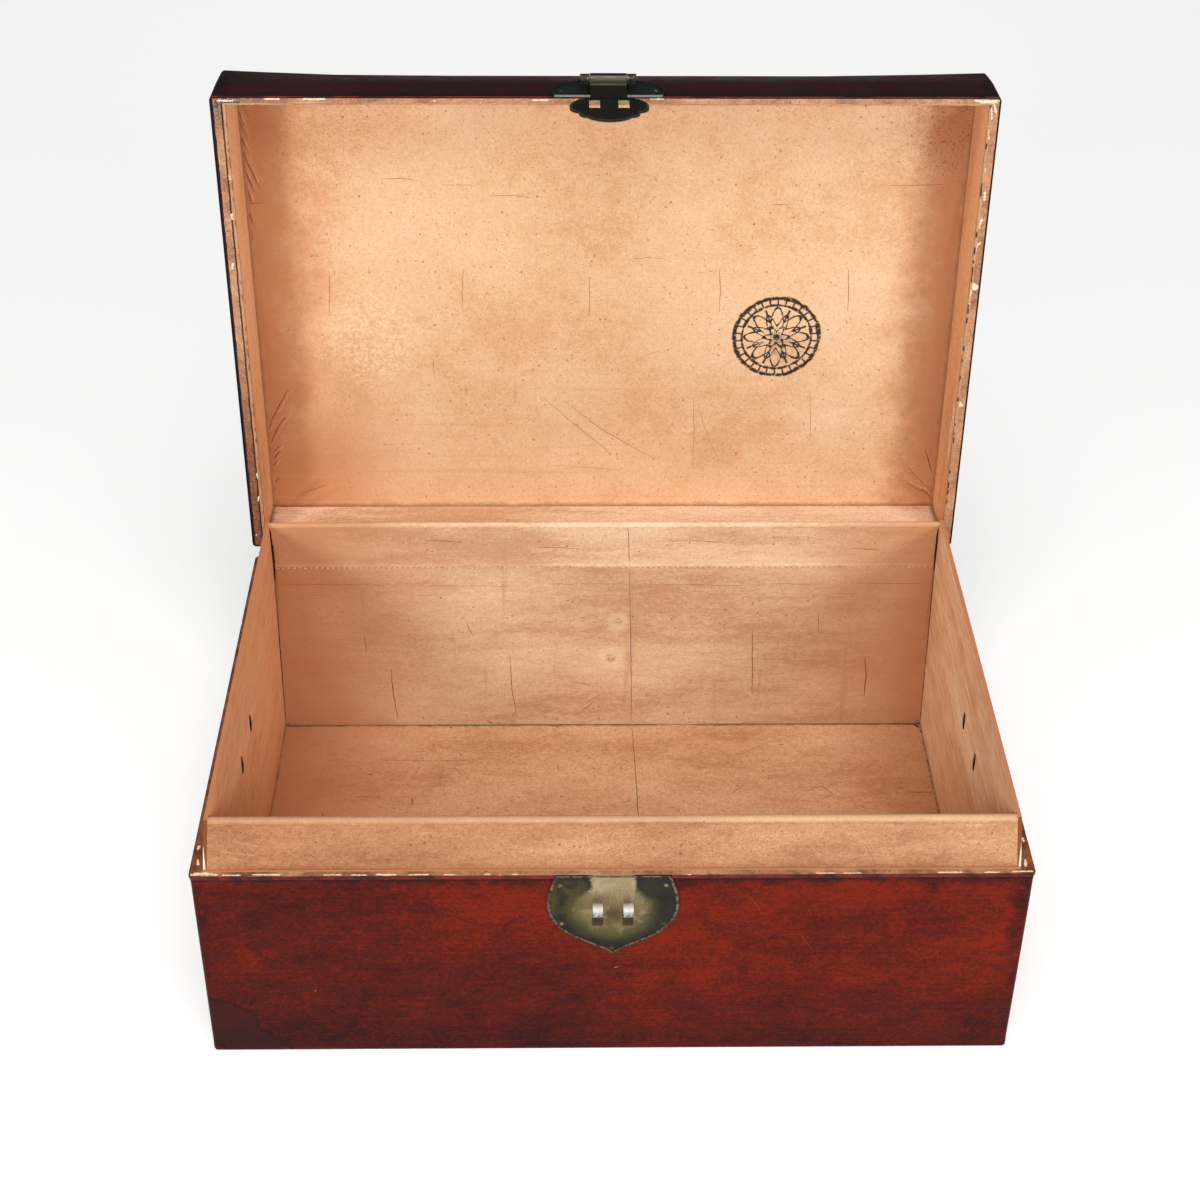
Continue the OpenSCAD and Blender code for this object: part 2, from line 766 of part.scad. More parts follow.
module hinge_base_leaf(side) {
    inner = lid_knuckle_w / 2 + knuckle_gap;
    color(old_brass) translate([side * hinge_x, case_d / 2, base_h]) difference() {
        union() {
            leaf_plate();
            knuckle(-leaf_w / 2, -inner);
            knuckle(inner, leaf_w / 2);
        }
        hinge_bore();
    }
}

// Lid leaf: the same strap turned up, its middle knuckle and a heel that meets the
// base leaf when the lid stands open
module hinge_lid_leaf(side) {
    w = lid_knuckle_w;
    heel_face = leaf_t - pivot_out + knuckle_gap;
    color(old_brass) in_lid() translate([side * hinge_x, case_d / 2, base_h]) difference() {
        union() {
            mirror([0, 0, 1]) {
                leaf_plate();
                knuckle(-w / 2, w / 2);
            }
            translate([0, pivot_out, 0]) rotate([lid_open, 0, 0])
                translate([-w / 2, heel_face, -heel_l]) cube([w, heel_t, heel_l]);
        }
        hinge_bore();
    }
}

module hinge_pin(side) {
    color(worn_steel) translate([side * hinge_x, hinge_y, base_h])
        headed_pin(hinge_pin_r, leaf_w / 2 + seat_gap);
}

module hinge_base_nails() {
    color(nail_brass) for (s = [-1, 1]) translate([s * hinge_x, 0, 0])
        on_back(base_h) for (p = leaf_nails) translate([p[0], p[1], 0]) nail(leaf_t);
}

module hinge_lid_nails() {
    color(nail_brass) in_lid() for (s = [-1, 1]) translate([s * hinge_x, 0, 0])
        on_back(base_h) mirror([0, 1, 0]) for (p = leaf_nails)
            translate([p[0], p[1], 0]) nail(leaf_t);
}

// Inner face of the side liners at a height
function liner_face_x(z) = side_foot_x
    + (side_top_x - side_foot_x) * (z - floor_top) / (lip_top - floor_top);

// Split posts: a round eye outside, two legs through the wall, prongs clinched inside
module handle_posts(side) {
    inner = case_w / 2 - liner_face_x(handle_z + post_prong + strip_t);
    color(old_brass) mirror([side < 0 ? 1 : 0, 0, 0]) for (p = [-1, 1])
        translate([case_w / 2, p * post_pitch / 2 - handle_shift, handle_z])
            difference() {
                union() {
                    translate([eye_out, 0, 0]) rotate([90, 0, 0])
                        cylinder(r = eye_r, h = post_w, center = true);
                    along_y(post_w) clinched_legs(eye_out, inner, post_prong);
                }
                translate([eye_out, 0, 0]) rotate([90, 0, 0])
                    cylinder(r = rod_r + pin_clear, h = 3 * post_w, center = true);
            }
}

// Domed round roses between the posts' eyes and the leather
module handle_roses(side) {
    color(old_brass) mirror([side < 0 ? 1 : 0, 0, 0]) difference() {
        for (p = [-1, 1])
            translate([case_w / 2, p * post_pitch / 2 - handle_shift, handle_z])
                rotate([0, 90, 0]) rotate_extrude() polygon([[0, 0], [rose_r, 0],
                    [rose_r, 0.4], [rose_r - 1.2, 0.9], [rose_r - 2.4, 0.6],
                    [rose_r - 3.2, 0.6], [rose_r - 4.6, plate_t], [0, plate_t]]);
        handle_cuts();
    }
}

// Bail: two ends in the eyes, two legs, round corners and a swelling grip
module handle(side) {
    corner_y = leg_y - bail_corner_r;
    corner_z = bail_corner_r - bail_drop;
    color(old_brass) translate([side * (case_w / 2 + eye_out), -handle_shift, handle_z]) {
        for (s = [-1, 1]) mirror([0, s < 0 ? 1 : 0, 0]) {
            translate([0, post_pitch / 2 - post_w, 0]) rotate([-90, 0, 0])
                cylinder(r = rod_r, h = leg_y - bend_r - post_pitch / 2 + post_w);
            rod_bend(leg_y - bend_r, -bend_r, bend_r, 0);
            translate([0, leg_y, corner_z])
                cylinder(r = rod_r, h = -bend_r - corner_z);
            rod_bend(corner_y, corner_z, bail_corner_r, -90);
        }
        translate([0, 0, -bail_drop]) rotate([-90, 0, 0]) rotate_extrude()
            rotate(90) polygon(mirrored(grip_half(corner_y)));
    }
}

// Half profile of the grip along its axis: a collar near each end, then a swelling middle
function grip_half(end) = let (collar = end - 5, swell = 4, collar_r = rod_r + 0.7)
    [[end, 0], [end, -rod_r], [collar + 1, -rod_r], [collar, -collar_r],
        [collar - 1, -rod_r], [swell, -grip_r]];

// Quarter bend of the rod about a centre across y and up z
module rod_bend(y, z, r, turn) {
    translate([0, y, z]) rotate([90, 0, 90]) rotate([0, 0, turn])
        rotate_extrude(angle = 90) translate([r, 0]) circle(rod_r);
}

module lid_long_board(side) {
    color(camphor_wood) in_lid() difference() {
        socket_board(side, lid_long_board_t, lid_end_board_t, lid_bay_y, lid_wall_z,
            lid_wall_h, lid_tails);
        if (side < 0) hasp_nail_cuts(); else lid_hinge_cuts();
    }
}

module lid_end_board(side) {
    color(camphor_wood) in_lid() tailed_board(side, lid_end_board_t, lid_bay_y,
        lid_long_board_t, lid_wall_z, lid_wall_h, lid_tails);
}

module lid_top_board() {
    color(camphor_wood) in_lid()
        centred_box(board_x, board_y, top_board_z, lid_top_z - leather_t);
}

// Leather over the lid, rounded along its corners and its top edges
module lid_leather_cover() {
    color(dark_lacquer) in_lid() difference() {
        hull() for (sx = [-1, 1], sy = [-1, 1])
            translate([sx * (case_w / 2 - corner_r), sy * (case_d / 2 - corner_r), lid_z]) {
                cylinder(r = corner_r, h = 1, $fn = 32);
                translate([0, 0, lid_h - corner_r]) sphere(corner_r, $fn = 32);
            }
        centred_box(board_x, board_y, lid_z - cut, lid_top_z - leather_t);
        hasp_nail_cuts();
        lid_hinge_cuts();
    }
}

module lid_rim_binding() {
    color(tan_leather) in_lid() difference() {
        centred_box(board_x, board_y, lid_z, lid_wall_z);
        centred_box(lid_bay_x, lid_bay_y, lid_z - cut, lid_wall_z + cut);
    }
}

module lid_lining_panel() {
    color(tan_leather) in_lid()
        centred_box(lid_room_x, lid_room_y, top_board_z - lining_t, top_board_z);
}

module lid_lining_long(side) {
    color(tan_leather) in_lid() difference() {
        translate([-lid_room_x, side > 0 ? lid_room_y : -lid_bay_y, lid_z])
            cube([2 * lid_room_x, lining_t, top_board_z - lid_z]);
        if (side < 0) hasp_nail_cuts(); else lid_hinge_cuts();
    }
}

module lid_lining_end(side) {
    color(tan_leather) in_lid()
        translate([side > 0 ? lid_room_x : -lid_bay_x, -lid_bay_y, lid_z])
            cube([lid_end_lining_t, 2 * lid_bay_y, top_board_z - lid_z]);
}

base_floor_board();
base_long_board(-1);  // base_front_board
base_long_board(1);  // base_back_board
base_end_board(-1);  // base_left_board
base_end_board(1);  // base_right_board
base_leather_cover();
base_bottom_leather();
base_rim_binding();
side_liner(-1);  // side_liner_left
side_liner(1);  // side_liner_right
front_liner_board();
front_liner_leather();
back_liner_board();
back_lip_leather();
back_lining(-1);  // back_lining_left
back_lining(1);  // back_lining_right
floor_lining(-1);  // floor_lining_left
floor_lining(1);  // floor_lining_right
lock_plate();
lock_staple(-1);  // lock_staple_left
lock_staple(1);  // lock_staple_right
lock_plate_nails();
hinge_base_leaf(-1);  // hinge_base_leaf_left
hinge_base_leaf(1);  // hinge_base_leaf_right
hinge_pin(-1);  // hinge_pin_left
hinge_pin(1);  // hinge_pin_right
hinge_base_nails();
handle_posts(-1);  // handle_posts_left
handle_posts(1);  // handle_posts_right
handle_roses(-1);  // handle_roses_left
handle_roses(1);  // handle_roses_right
lid_top_board();
lid_long_board(-1);  // lid_front_board
lid_long_board(1);  // lid_back_board
lid_end_board(-1);  // lid_left_board
lid_end_board(1);  // lid_right_board
lid_leather_cover();
lid_rim_binding();
lid_lining_panel();
lid_lining_long(-1);  // lid_lining_front
lid_lining_long(1);  // lid_lining_back
lid_lining_end(-1);  // lid_lining_left
lid_lining_end(1);  // lid_lining_right
hinge_lid_leaf(-1);  // hinge_lid_leaf_left
hinge_lid_leaf(1);  // hinge_lid_leaf_right
hinge_lid_nails();
hasp_plate();
hasp_plate_nails();
hasp_pin();
hasp();
handle(-1);  // handle_left
handle(1);  // handle_right
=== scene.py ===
"""Leather camphor trunk, standing open: its looks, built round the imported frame."""
import functools
import math
import random

import bmesh
import bpy
import numpy as np
from mathutils import Matrix, Vector, noise
from mathutils.bvhtree import BVHTree


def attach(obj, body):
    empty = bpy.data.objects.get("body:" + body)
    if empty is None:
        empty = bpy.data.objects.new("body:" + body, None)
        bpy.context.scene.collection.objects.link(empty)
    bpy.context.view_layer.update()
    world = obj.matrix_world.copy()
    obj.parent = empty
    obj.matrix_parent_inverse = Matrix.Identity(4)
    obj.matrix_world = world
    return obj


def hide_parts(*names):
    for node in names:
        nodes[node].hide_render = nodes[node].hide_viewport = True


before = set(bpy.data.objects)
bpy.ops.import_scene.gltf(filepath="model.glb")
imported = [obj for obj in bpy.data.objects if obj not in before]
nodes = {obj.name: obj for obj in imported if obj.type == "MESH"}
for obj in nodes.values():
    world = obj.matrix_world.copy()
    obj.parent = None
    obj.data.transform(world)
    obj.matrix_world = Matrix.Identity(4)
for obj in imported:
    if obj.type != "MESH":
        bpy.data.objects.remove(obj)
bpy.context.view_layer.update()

MM = 0.001
# Corners of one mesh closer than this, in metres, become one
WELD = 1e-6

# Sizes of the case, as in the CAD source, in millimetres
CASE_X, CASE_Y = 370.0, 247.0
BOARD_X, BOARD_Y = 368.5, 245.5
RIM_Z, LID_Z, LID_TOP_Z = 222.0, 222.4, 306.4
CORNER_R, THICK = 4.0, 1.5
LIP_X, LIP_Y = 359.0, 238.5
LID_BAY_X, LID_BAY_Y = 362.0, 240.5
LID_ROOM_X, LID_ROOM_Y = 359.5, 239.0
LINING_Z, TOP_BOARD_Z = 296.4, 297.9
SEAM_Z = 218.0
FLOOR_FACE = 11.0
HINGE_Y, HINGE_X, LEAF_W = 254.0, 220.0, 44.0
PLATE_NOTCH = 51.4
OPEN_ANGLE = math.radians(92.5)


def tone(r, g, b):
    """A colour as seen on screen, made linear for the shaders."""
    def linear(v):
        v /= 255
        return v / 12.92 if v <= 0.04045 else ((v + 0.055) / 1.055) ** 2.4
    return linear(r), linear(g), linear(b), 1.0


def link_object(name, data):
    """An object for some data, linked to the scene."""
    made = bpy.data.objects.new(name, data)
    bpy.context.scene.collection.objects.link(made)
    return made


# Camera, floor and light

def add_camera():
    """Stands where the photograph was taken, as fitted from the case's corners."""
    pitch, yaw, roll = (math.radians(a) for a in (35.61, 1.05, 0.48))
    forward = Vector((math.sin(yaw) * math.cos(pitch), math.cos(yaw) * math.cos(pitch),
                      -math.sin(pitch)))
    level = Vector((math.cos(yaw), -math.sin(yaw), 0))
    rise = level.cross(forward)
    right = math.cos(roll) * level + math.sin(roll) * rise
    up = -math.sin(roll) * level + math.cos(roll) * rise
    data = bpy.data.cameras.new("photo_camera")
    data.lens, data.sensor_width = 63.09, 36
    camera = link_object("photo_camera", data)
    place = Matrix.Translation((-0.0385, -1.6007, 1.4870))
    camera.matrix_world = place @ Matrix((right, up, -forward)).transposed().to_4x4()
    bpy.context.scene.camera = camera


def add_soft_light(name, place, size, watts):
    """A round softbox that looks at the middle of the trunk."""
    data = bpy.data.lights.new(name, "AREA")
    data.shape, data.size, data.energy = "DISK", size, watts
    data.color = (1.0, 0.985, 0.96)
    light = link_object(name, data)
    light.location = place
    aim = Vector((0, 0.1, 0.35)) - Vector(place)
    light.rotation_euler = aim.to_track_quat("-Z", "Y").to_euler()


def add_studio():
    world = bpy.data.worlds.new("studio")
    world.use_nodes = True
    sky = world.node_tree.nodes["Background"]
    sky.inputs["Color"].default_value = (1.0, 0.99, 0.975, 1.0)
    sky.inputs["Strength"].default_value = 0.16
    bpy.context.scene.world = world
    bpy.context.scene.view_settings.view_transform = "Standard"
    add_soft_light("left_softbox", (-1.75, -1.9, 1.35), 0.7, 31)
    add_soft_light("right_softbox", (1.75, -1.9, 1.35), 0.8, 32)
    overhead = bpy.data.lights.new("overhead", "SUN")
    overhead.energy, overhead.angle = 1.9, math.radians(42)
    link_object("overhead", overhead).rotation_euler = (math.radians(33), 0, 0)
    mesh = bpy.data.meshes.new("pale_floor")
    half = 9.0
    corners = [(-half, -half, 0), (half, -half, 0), (half, half, 0), (-half, half, 0)]
    mesh.from_pydata(corners, [], [(0, 1, 2, 3)])
    floor = link_object("pale_floor", mesh)
    material = bpy.data.materials.new("pale_floor")
    material.use_nodes = True
    paint = material.node_tree.nodes["Principled BSDF"].inputs
    paint["Base Color"].default_value = (0.97, 0.97, 0.97, 1)
    paint["Roughness"].default_value = 0.9
    paint["Specular IOR Level"].default_value = 0.2
    paint["Emission Color"].default_value = (1.0, 1.0, 1.0, 1)
    paint["Emission Strength"].default_value = 0.2
    mesh.materials.append(material)


# Shader trees

class Bench:
    """Puts nodes into one tree, joins them up and keeps the colour in progress."""

    def __init__(self, tree):
        self.tree = tree
        self.color = None

    def feed(self, socket, value):
        if value is None:
            return
        if isinstance(value, bpy.types.NodeSocket):
            self.tree.links.new(value, socket)
        else:
            socket.default_value = value

    def put(self, kind, *feeds, **settings):
        node = self.tree.nodes.new("ShaderNode" + kind)
        for key, value in settings.items():
            setattr(node, key, value)
        for socket, value in zip(node.inputs, feeds):
            self.feed(socket, value)
        return node

    def reckon(self, how, *values):
        return self.put("Math", *values, operation=how).outputs[0]

    def times(self, *values):
        return functools.reduce(lambda a, b: self.reckon("MULTIPLY", a, b), values)

    def plus(self, *values):
        return functools.reduce(lambda a, b: self.reckon("ADD", a, b), values)

    def most(self, *values):
        return functools.reduce(lambda a, b: self.reckon("MAXIMUM", a, b), values)

    def least(self, a, b):
        return self.reckon("MINIMUM", a, b)

    def minus(self, a, b):
        return self.reckon("SUBTRACT", a, b)

    def size(self, value):
        return self.reckon("ABSOLUTE", value)

    def gap(self, a, b):
        return self.size(self.minus(a, b))

    def sway(self, share, reach):
        """A share, 0 to 1, as a swing either way over the reach."""
        return self.times(self.minus(share, 0.5), reach)

    def vector(self, how, a, b=None):
        node = self.put("VectorMath", a, b, operation=how)
        return node.outputs["Value" if how in ("LENGTH", "DISTANCE") else "Vector"]

    def noise(self, place, scale, detail=3.0, rough=0.55, twist=0.0):
        node = self.put("TexNoise")
        for name, value in (("Vector", place), ("Scale", scale), ("Detail", detail),
                            ("Roughness", rough), ("Distortion", twist)):
            self.feed(node.inputs[name], value)
        return node.outputs["Fac"]

    def drawn(self, place, pull, *feeds):
        """Noise pressed together along each axis by its share of the pull."""
        return self.noise(self.vector("MULTIPLY", place, pull), *feeds)

    def step(self, value, low, high, start=0.0, end=1.0):
        node = self.put("MapRange", value, low, high, start, end,
                        interpolation_type="SMOOTHSTEP")
        return node.outputs[0]

    def blend(self, share, a, b, how="MIX"):
        node = self.put("Mix", data_type="RGBA", blend_type=how)
        for socket, value in ((node.inputs[0], share), (node.inputs[6], a),
                              (node.inputs[7], b)):
            self.feed(socket, value)
        return node.outputs[2]

    def coat(self, mask, tint, share=None):
        """Lays a tint over the colour in progress where the mask is high, up to the share."""
        mask = mask if share is None else self.times(mask, share)
        self.color = self.blend(mask, self.color, tint)

    def shade(self, mask, factor):
        """Multiplies the colour in progress by a factor where the mask is high."""
        self.coat(mask, self.blend(1.0, self.color, factor, "MULTIPLY"))

    def start(self, tree, **feeds):
        """Places a group and takes its colour as the first coat."""
        out = self.group(tree, **feeds)
        self.color = out["Color"]
        return out

    def edge(self, place, centre, half, reach, ragged=0.35):
        """Nearness to the edges of a box, whose centre and half size are in millimetres."""
        return self.group(EDGE, Place=place, Centre=[v * MM for v in centre],
                          Half_size=[v * MM for v in half], Reach=reach, Ragged=ragged)["Edge"]

    def cells(self, place, scale):
        """Distance to the nearest seed of a cell, and the cell's own random colour."""
        node = self.put("TexVoronoi")
        self.feed(node.inputs["Vector"], place)
        self.feed(node.inputs["Scale"], scale)
        return node.outputs["Distance"], node.outputs["Color"]

    def parts(self, vector):
        return self.put("SeparateXYZ", vector).outputs

    def group(self, tree, **feeds):
        node = self.tree.nodes.new("ShaderNodeGroup")
        node.node_tree = tree
        for name, value in feeds.items():
            self.feed(node.inputs[name.replace("_", " ")], value)
        return node.outputs


def new_group(name, takes, gives):
    """An empty shader group with its bench, its inputs and its outputs."""
    tree = bpy.data.node_groups.new(name, "ShaderNodeTree")
    for label, kind, value in takes:
        socket = tree.interface.new_socket(name=label, in_out="INPUT",
                                           socket_type="NodeSocket" + kind)
        if value is not None:
            socket.default_value = value
    for label, kind in gives:
        tree.interface.new_socket(name=label, in_out="OUTPUT",
                                  socket_type="NodeSocket" + kind)
    start = tree.nodes.new("NodeGroupInput")
    end = tree.nodes.new("NodeGroupOutput")
    return tree, Bench(tree), start.outputs, end.inputs


def make_edge_group():
    """How near a point of a box's surface is to the box's edges, from 0 to 1."""
    tree, b, takes, gives = new_group(
        "edge_nearness",
        [("Place", "Vector", None), ("Centre", "Vector", (0, 0, 0)),
         ("Half size", "Vector", (1, 1, 1)), ("Reach", "Float", 0.01),
         ("Ragged", "Float", 0.3)],
        [("Edge", "Float")])
    off = b.vector("ABSOLUTE", b.vector("SUBTRACT", takes["Place"], takes["Centre"]))
    x, y, z = b.parts(b.vector("SUBTRACT", takes["Half size"], off))
    high = b.least(b.most(x, y), z)
    middle = b.most(b.least(x, y), high)
    rough = b.noise(takes["Place"], 70.0, 4.0, 0.6)
    swing = b.sway(rough, b.times(takes["Reach"], takes["Ragged"], 4.0))
    b.feed(gives["Edge"], b.step(b.plus(middle, swing), takes["Reach"], 0.0))
    return tree


def make_hide_group():
    """Undyed cowhide: slow clouds, fibres along one way, a pebbled grain, pores and specks."""
    tree, b, takes, gives = new_group(
        "tan_hide",
        [("Place", "Vector", None), ("Stretch", "Vector", (1, 1, 1)),
         ("Cloud", "Float", 7.0), ("Pale", "Color", None), ("Warm", "Color", None),
         ("Deep", "Color", None), ("Speck", "Color", None), ("Speckled", "Float", 0.3),
         ("Pebbled", "Float", 0.7)],
        [("Color", "Color"), ("Roughness", "Float"), ("Height", "Float")])
    place = b.vector("MULTIPLY", takes["Place"], takes["Stretch"])
    cloud = b.noise(place, takes["Cloud"], 4.0, 0.55)
    patch = b.noise(place, b.times(takes["Cloud"], 6.0), 5.0, 0.65, 0.5)
    fibre = b.noise(place, b.times(takes["Cloud"], 40.0), 3.0, 0.7)
    pebble = b.noise(takes["Place"], 330.0, 3.0, 0.7, 0.9)
    grain = b.noise(takes["Place"], 900.0, 3.0, 0.8)
    share = b.plus(cloud, b.sway(patch, 0.5), b.sway(fibre, 0.55))
    b.color = b.blend(b.step(share, 0.26, 0.54), takes["Deep"], takes["Warm"])
    b.coat(b.step(share, 0.48, 0.78), takes["Pale"])
    pores = []
    for scale, reach, rare in ((520.0, 0.34, 1.0), (170.0, 0.23, 0.8)):
        distance, own = b.cells(takes["Place"], scale)
        red, green, _ = b.parts(own)
        crowd = b.times(takes["Speckled"], b.step(patch, 0.42, 0.62, 0.35, rare))
        chosen = b.reckon("LESS_THAN", red, crowd)
        edge = b.times(b.plus(green, 0.35), reach)
        spot = b.step(distance, edge, b.times(edge, 0.3))
        pores.append(b.times(chosen, spot, green))
    pore = b.most(*pores)
    b.coat(pore, takes["Speck"], 0.75)
    skin = b.plus(b.times(grain, 0.55), b.times(pebble, 0.45))
    tint = b.blend(b.step(skin, 0.40, 0.60), (0.76, 0.67, 0.58, 1), (1.09, 1.12, 1.15, 1))
    b.color = b.blend(takes["Pebbled"], b.color, tint, "MULTIPLY")
    b.feed(gives["Color"], b.color)
    b.feed(gives["Roughness"], b.step(grain, 0.2, 0.8, 0.52, 0.7))
    height = b.plus(b.times(skin, 0.7), b.times(fibre, 0.4))
    b.feed(gives["Height"], b.minus(height, b.times(pore, 0.5)))
    return tree


def make_lacquer_group():
    """Lacquered leather: clouds of bright and deep red, level brush streaks, dark edges."""
    tree, b, takes, gives = new_group(
        "lacquered_hide",
        [("Place", "Vector", None), ("Bright", "Color", None), ("Deep", "Color", None),
         ("Dark", "Color", None), ("Streaks", "Float", 0.5), ("Darkened", "Float", 0.0)],
        [("Color", "Color"), ("Roughness", "Float"), ("Height", "Float")])
    cloud = b.drawn(takes["Place"], (1.0, 1.0, 2.2), 5.0, 4.0, 0.6, 0.3)
    patch = b.drawn(takes["Place"], (1.0, 1.0, 1.6), 30.0, 8.0, 0.72, 0.5)
    mottle = b.drawn(takes["Place"], (1.0, 1.0, 1.4), 210.0, 5.0, 0.75)
    brush = b.drawn(takes["Place"], (9.0, 9.0, 300.0), 1.0, 4.0, 0.65)
    grain = b.noise(takes["Place"], 800.0, 3.0, 0.8)
    share = b.plus(0.5, b.sway(cloud, 0.7))
    for layer, weight in ((patch, 0.75), (mottle, 0.85), (brush, takes["Streaks"]), (grain, 0.75)):
        share = b.plus(share, b.sway(layer, weight))
    share = b.minus(share, b.times(takes["Darkened"], 0.4))
    b.color = b.blend(b.step(share, 0.3, 0.72), takes["Deep"], takes["Bright"])
    b.coat(b.step(share, 0.36, 0.06), takes["Dark"], 0.9)
    distance, own = b.cells(takes["Place"], 210.0)
    fleck = b.times(b.reckon("LESS_THAN", b.parts(own)[0], 0.12), b.step(distance, 0.20, 0.06))
    b.coat(fleck, takes["Dark"], 0.6)
    b.feed(gives["Color"], b.color)
    b.feed(gives["Roughness"], b.step(b.plus(patch, b.times(grain, 0.3)), 0.4, 0.9, 0.36, 0.58))
    height = b.plus(b.times(grain, 0.4), b.times(mottle, 0.8))
    b.feed(gives["Height"], b.minus(height, b.times(fleck, 0.6)))
    return tree


def make_grain_group():
    """Camphor wood: fibres and slow figure along the way that Along is small."""
    tree, b, takes, gives = new_group(
        "camphor_grain",
        [("Place", "Vector", None), ("Along", "Vector", (120, 5, 120)),
         ("Pale", "Color", None), ("Warm", "Color", None), ("Deep", "Color", None)],
        [("Color", "Color"), ("Roughness", "Float"), ("Height", "Float")])
    place = b.vector("MULTIPLY", takes["Place"], takes["Along"])
    figure = b.noise(place, 0.35, 4.0, 0.6, 1.2)
    fibre = b.noise(place, 3.2, 5.0, 0.7, 0.3)
    hair = b.drawn(place, (1.0, 0.8, 1.0), 11.0, 3.0, 0.6)
    blot = b.noise(takes["Place"], 26.0, 5.0, 0.65)
    share = b.plus(b.times(figure, 0.45), b.times(fibre, 0.3), b.times(blot, 0.25))
    b.color = b.blend(b.step(share, 0.40, 0.54), takes["Deep"], takes["Warm"])
    b.coat(b.step(share, 0.50, 0.62), takes["Pale"])
    b.coat(b.step(hair, 0.46, 0.3, 0.0, 0.4), takes["Deep"])
    b.feed(gives["Color"], b.color)
    b.feed(gives["Roughness"], b.step(fibre, 0.3, 0.7, 0.54, 0.7))
    b.feed(gives["Height"], b.plus(b.times(fibre, 0.6), b.times(hair, 0.4)))
    return tree


def make_metal_group():
    """Old plate: a mottled tarnish, and bright where Worn is high."""
    tree, b, takes, gives = new_group(
        "old_plate",
        [("Place", "Vector", None), ("Worn", "Float", 0.0), ("Mottle", "Float", 60.0),
         ("Light", "Color", None), ("Mid", "Color", None), ("Dark", "Color", None)],
        [("Color", "Color"), ("Roughness", "Float"), ("Height", "Float")])
    patch = b.noise(takes["Place"], takes["Mottle"], 5.0, 0.62)
    fine = b.noise(takes["Place"], 700.0, 3.0, 0.7)
    brush = b.drawn(takes["Place"], (90.0, 900.0, 900.0), 1.0, 3.0)
    rub = b.plus(takes["Worn"], b.sway(brush, 0.35))
    b.color = b.blend(b.step(patch, 0.36, 0.66), takes["Dark"], takes["Mid"])
    b.coat(b.step(rub, 0.1, 1.0), takes["Light"])
    b.feed(gives["Color"], b.color)
    b.feed(gives["Roughness"], b.plus(b.step(patch, 0.3, 0.7, 0.3, 0.48), b.times(fine, 0.12)))
    b.feed(gives["Height"], b.plus(b.times(fine, 0.5), b.times(patch, 0.8)))
    return tree


def make_ink_group():
    """A round flower of ink: two rings with bars between, petals, veins and seeds."""
    tree, b, takes, gives = new_group(
        "ink_flower", [("Place", "Vector", None), ("Pen", "Float", 0.0019)],
        [("Ink", "Float")])
    x, y, _ = b.parts(takes["Place"])
    r = b.reckon("SQRT", b.plus(b.times(x, x), b.times(y, y)))
    turn = b.reckon("ARCTAN2", y, x)
    wobble = b.noise(takes["Place"], 130.0, 3.0, 0.6)
    pen = b.times(takes["Pen"], b.step(wobble, 0.3, 0.7, 0.55, 1.5))

    def line(distance, width=1.0):
        edge = b.times(pen, width)
        return b.step(b.size(distance), edge, b.times(edge, 0.45))

    def ripple(count, phase=0.0):
        return b.reckon("COSINE", b.plus(b.times(turn, float(count)), phase))

    def within(low, high):
        return b.times(b.reckon("GREATER_THAN", r, low), b.reckon("LESS_THAN", r, high))

    def petals(count, radius, swing, phase=0.0):
        return b.minus(r, b.reckon("MULTIPLY_ADD", ripple(count, phase), swing, radius))

    outer_ring, inner_ring = 0.0440, 0.0362
    marks = [line(b.minus(r, outer_ring), 1.5), line(b.minus(r, inner_ring)),
             line(petals(8, 0.0262, 0.0072), 1.2),
             line(petals(8, 0.0195, 0.0064, math.pi)),
             line(petals(6, 0.0095, 0.0030), 1.2),
             b.reckon("LESS_THAN", r, 0.0036)]
    bars = b.step(b.size(ripple(15)), 0.42, 0.24)
    marks.append(b.times(bars, within(inner_ring, outer_ring)))
    veins = b.step(b.size(ripple(4)), 0.20, 0.10)
    marks.append(b.times(veins, within(0.0140, 0.0330)))
    seeds = b.step(b.size(ripple(9)), 0.5, 0.3)
    marks.append(b.times(seeds, within(0.0040, 0.0072)))
    ink = b.most(*marks)
    uneven = b.step(b.noise(takes["Place"], 260.0, 4.0, 0.7), 0.30, 0.46, 0.2, 1.0)
    b.feed(gives["Ink"], b.times(ink, uneven))
    return tree


EDGE = make_edge_group()
HIDE = make_hide_group()
LACQUER = make_lacquer_group()
GRAIN = make_grain_group()
METAL = make_metal_group()
INK = make_ink_group()


# Materials

class Finish(Bench):
    """A material on the bench. Plain values stay on its shader."""

    def __init__(self, name, **plain):
        self.material = bpy.data.materials.new(name)
        self.material.use_nodes = True
        super().__init__(self.material.node_tree)
        self.shader = self.tree.nodes["Principled BSDF"].inputs
        for key, value in plain.items():
            self.shader[key.replace("_", " ")].default_value = value

    def done(self, rough, height, depth, strength):
        """Feeds the shader its colour, its roughness and a low relief."""
        bump = self.put("Bump")
        bump.inputs["Strength"].default_value = strength
        bump.inputs["Distance"].default_value = depth
        self.feed(bump.inputs["Height"], height)
        self.feed(self.shader["Base Color"], self.color)
        self.feed(self.shader["Roughness"], rough)
        self.feed(self.shader["Normal"], bump.outputs[0])
        return self.material


def base_place(b):
    return b.put("TexCoord").outputs["Object"]


def lid_place(b):
    """Object coordinates of a lid piece, turned back to where it is when the lid is shut."""
    node = b.put("VectorRotate", rotation_type="X_AXIS")
    b.feed(node.inputs["Vector"], base_place(b))
    node.inputs["Center"].default_value = (0, HINGE_Y * MM, RIM_Z * MM)
    node.inputs["Angle"].default_value = OPEN_ANGLE
    return node.outputs[0]


SPECK = tone(150, 82, 50)
GRIME = tone(96, 58, 38)


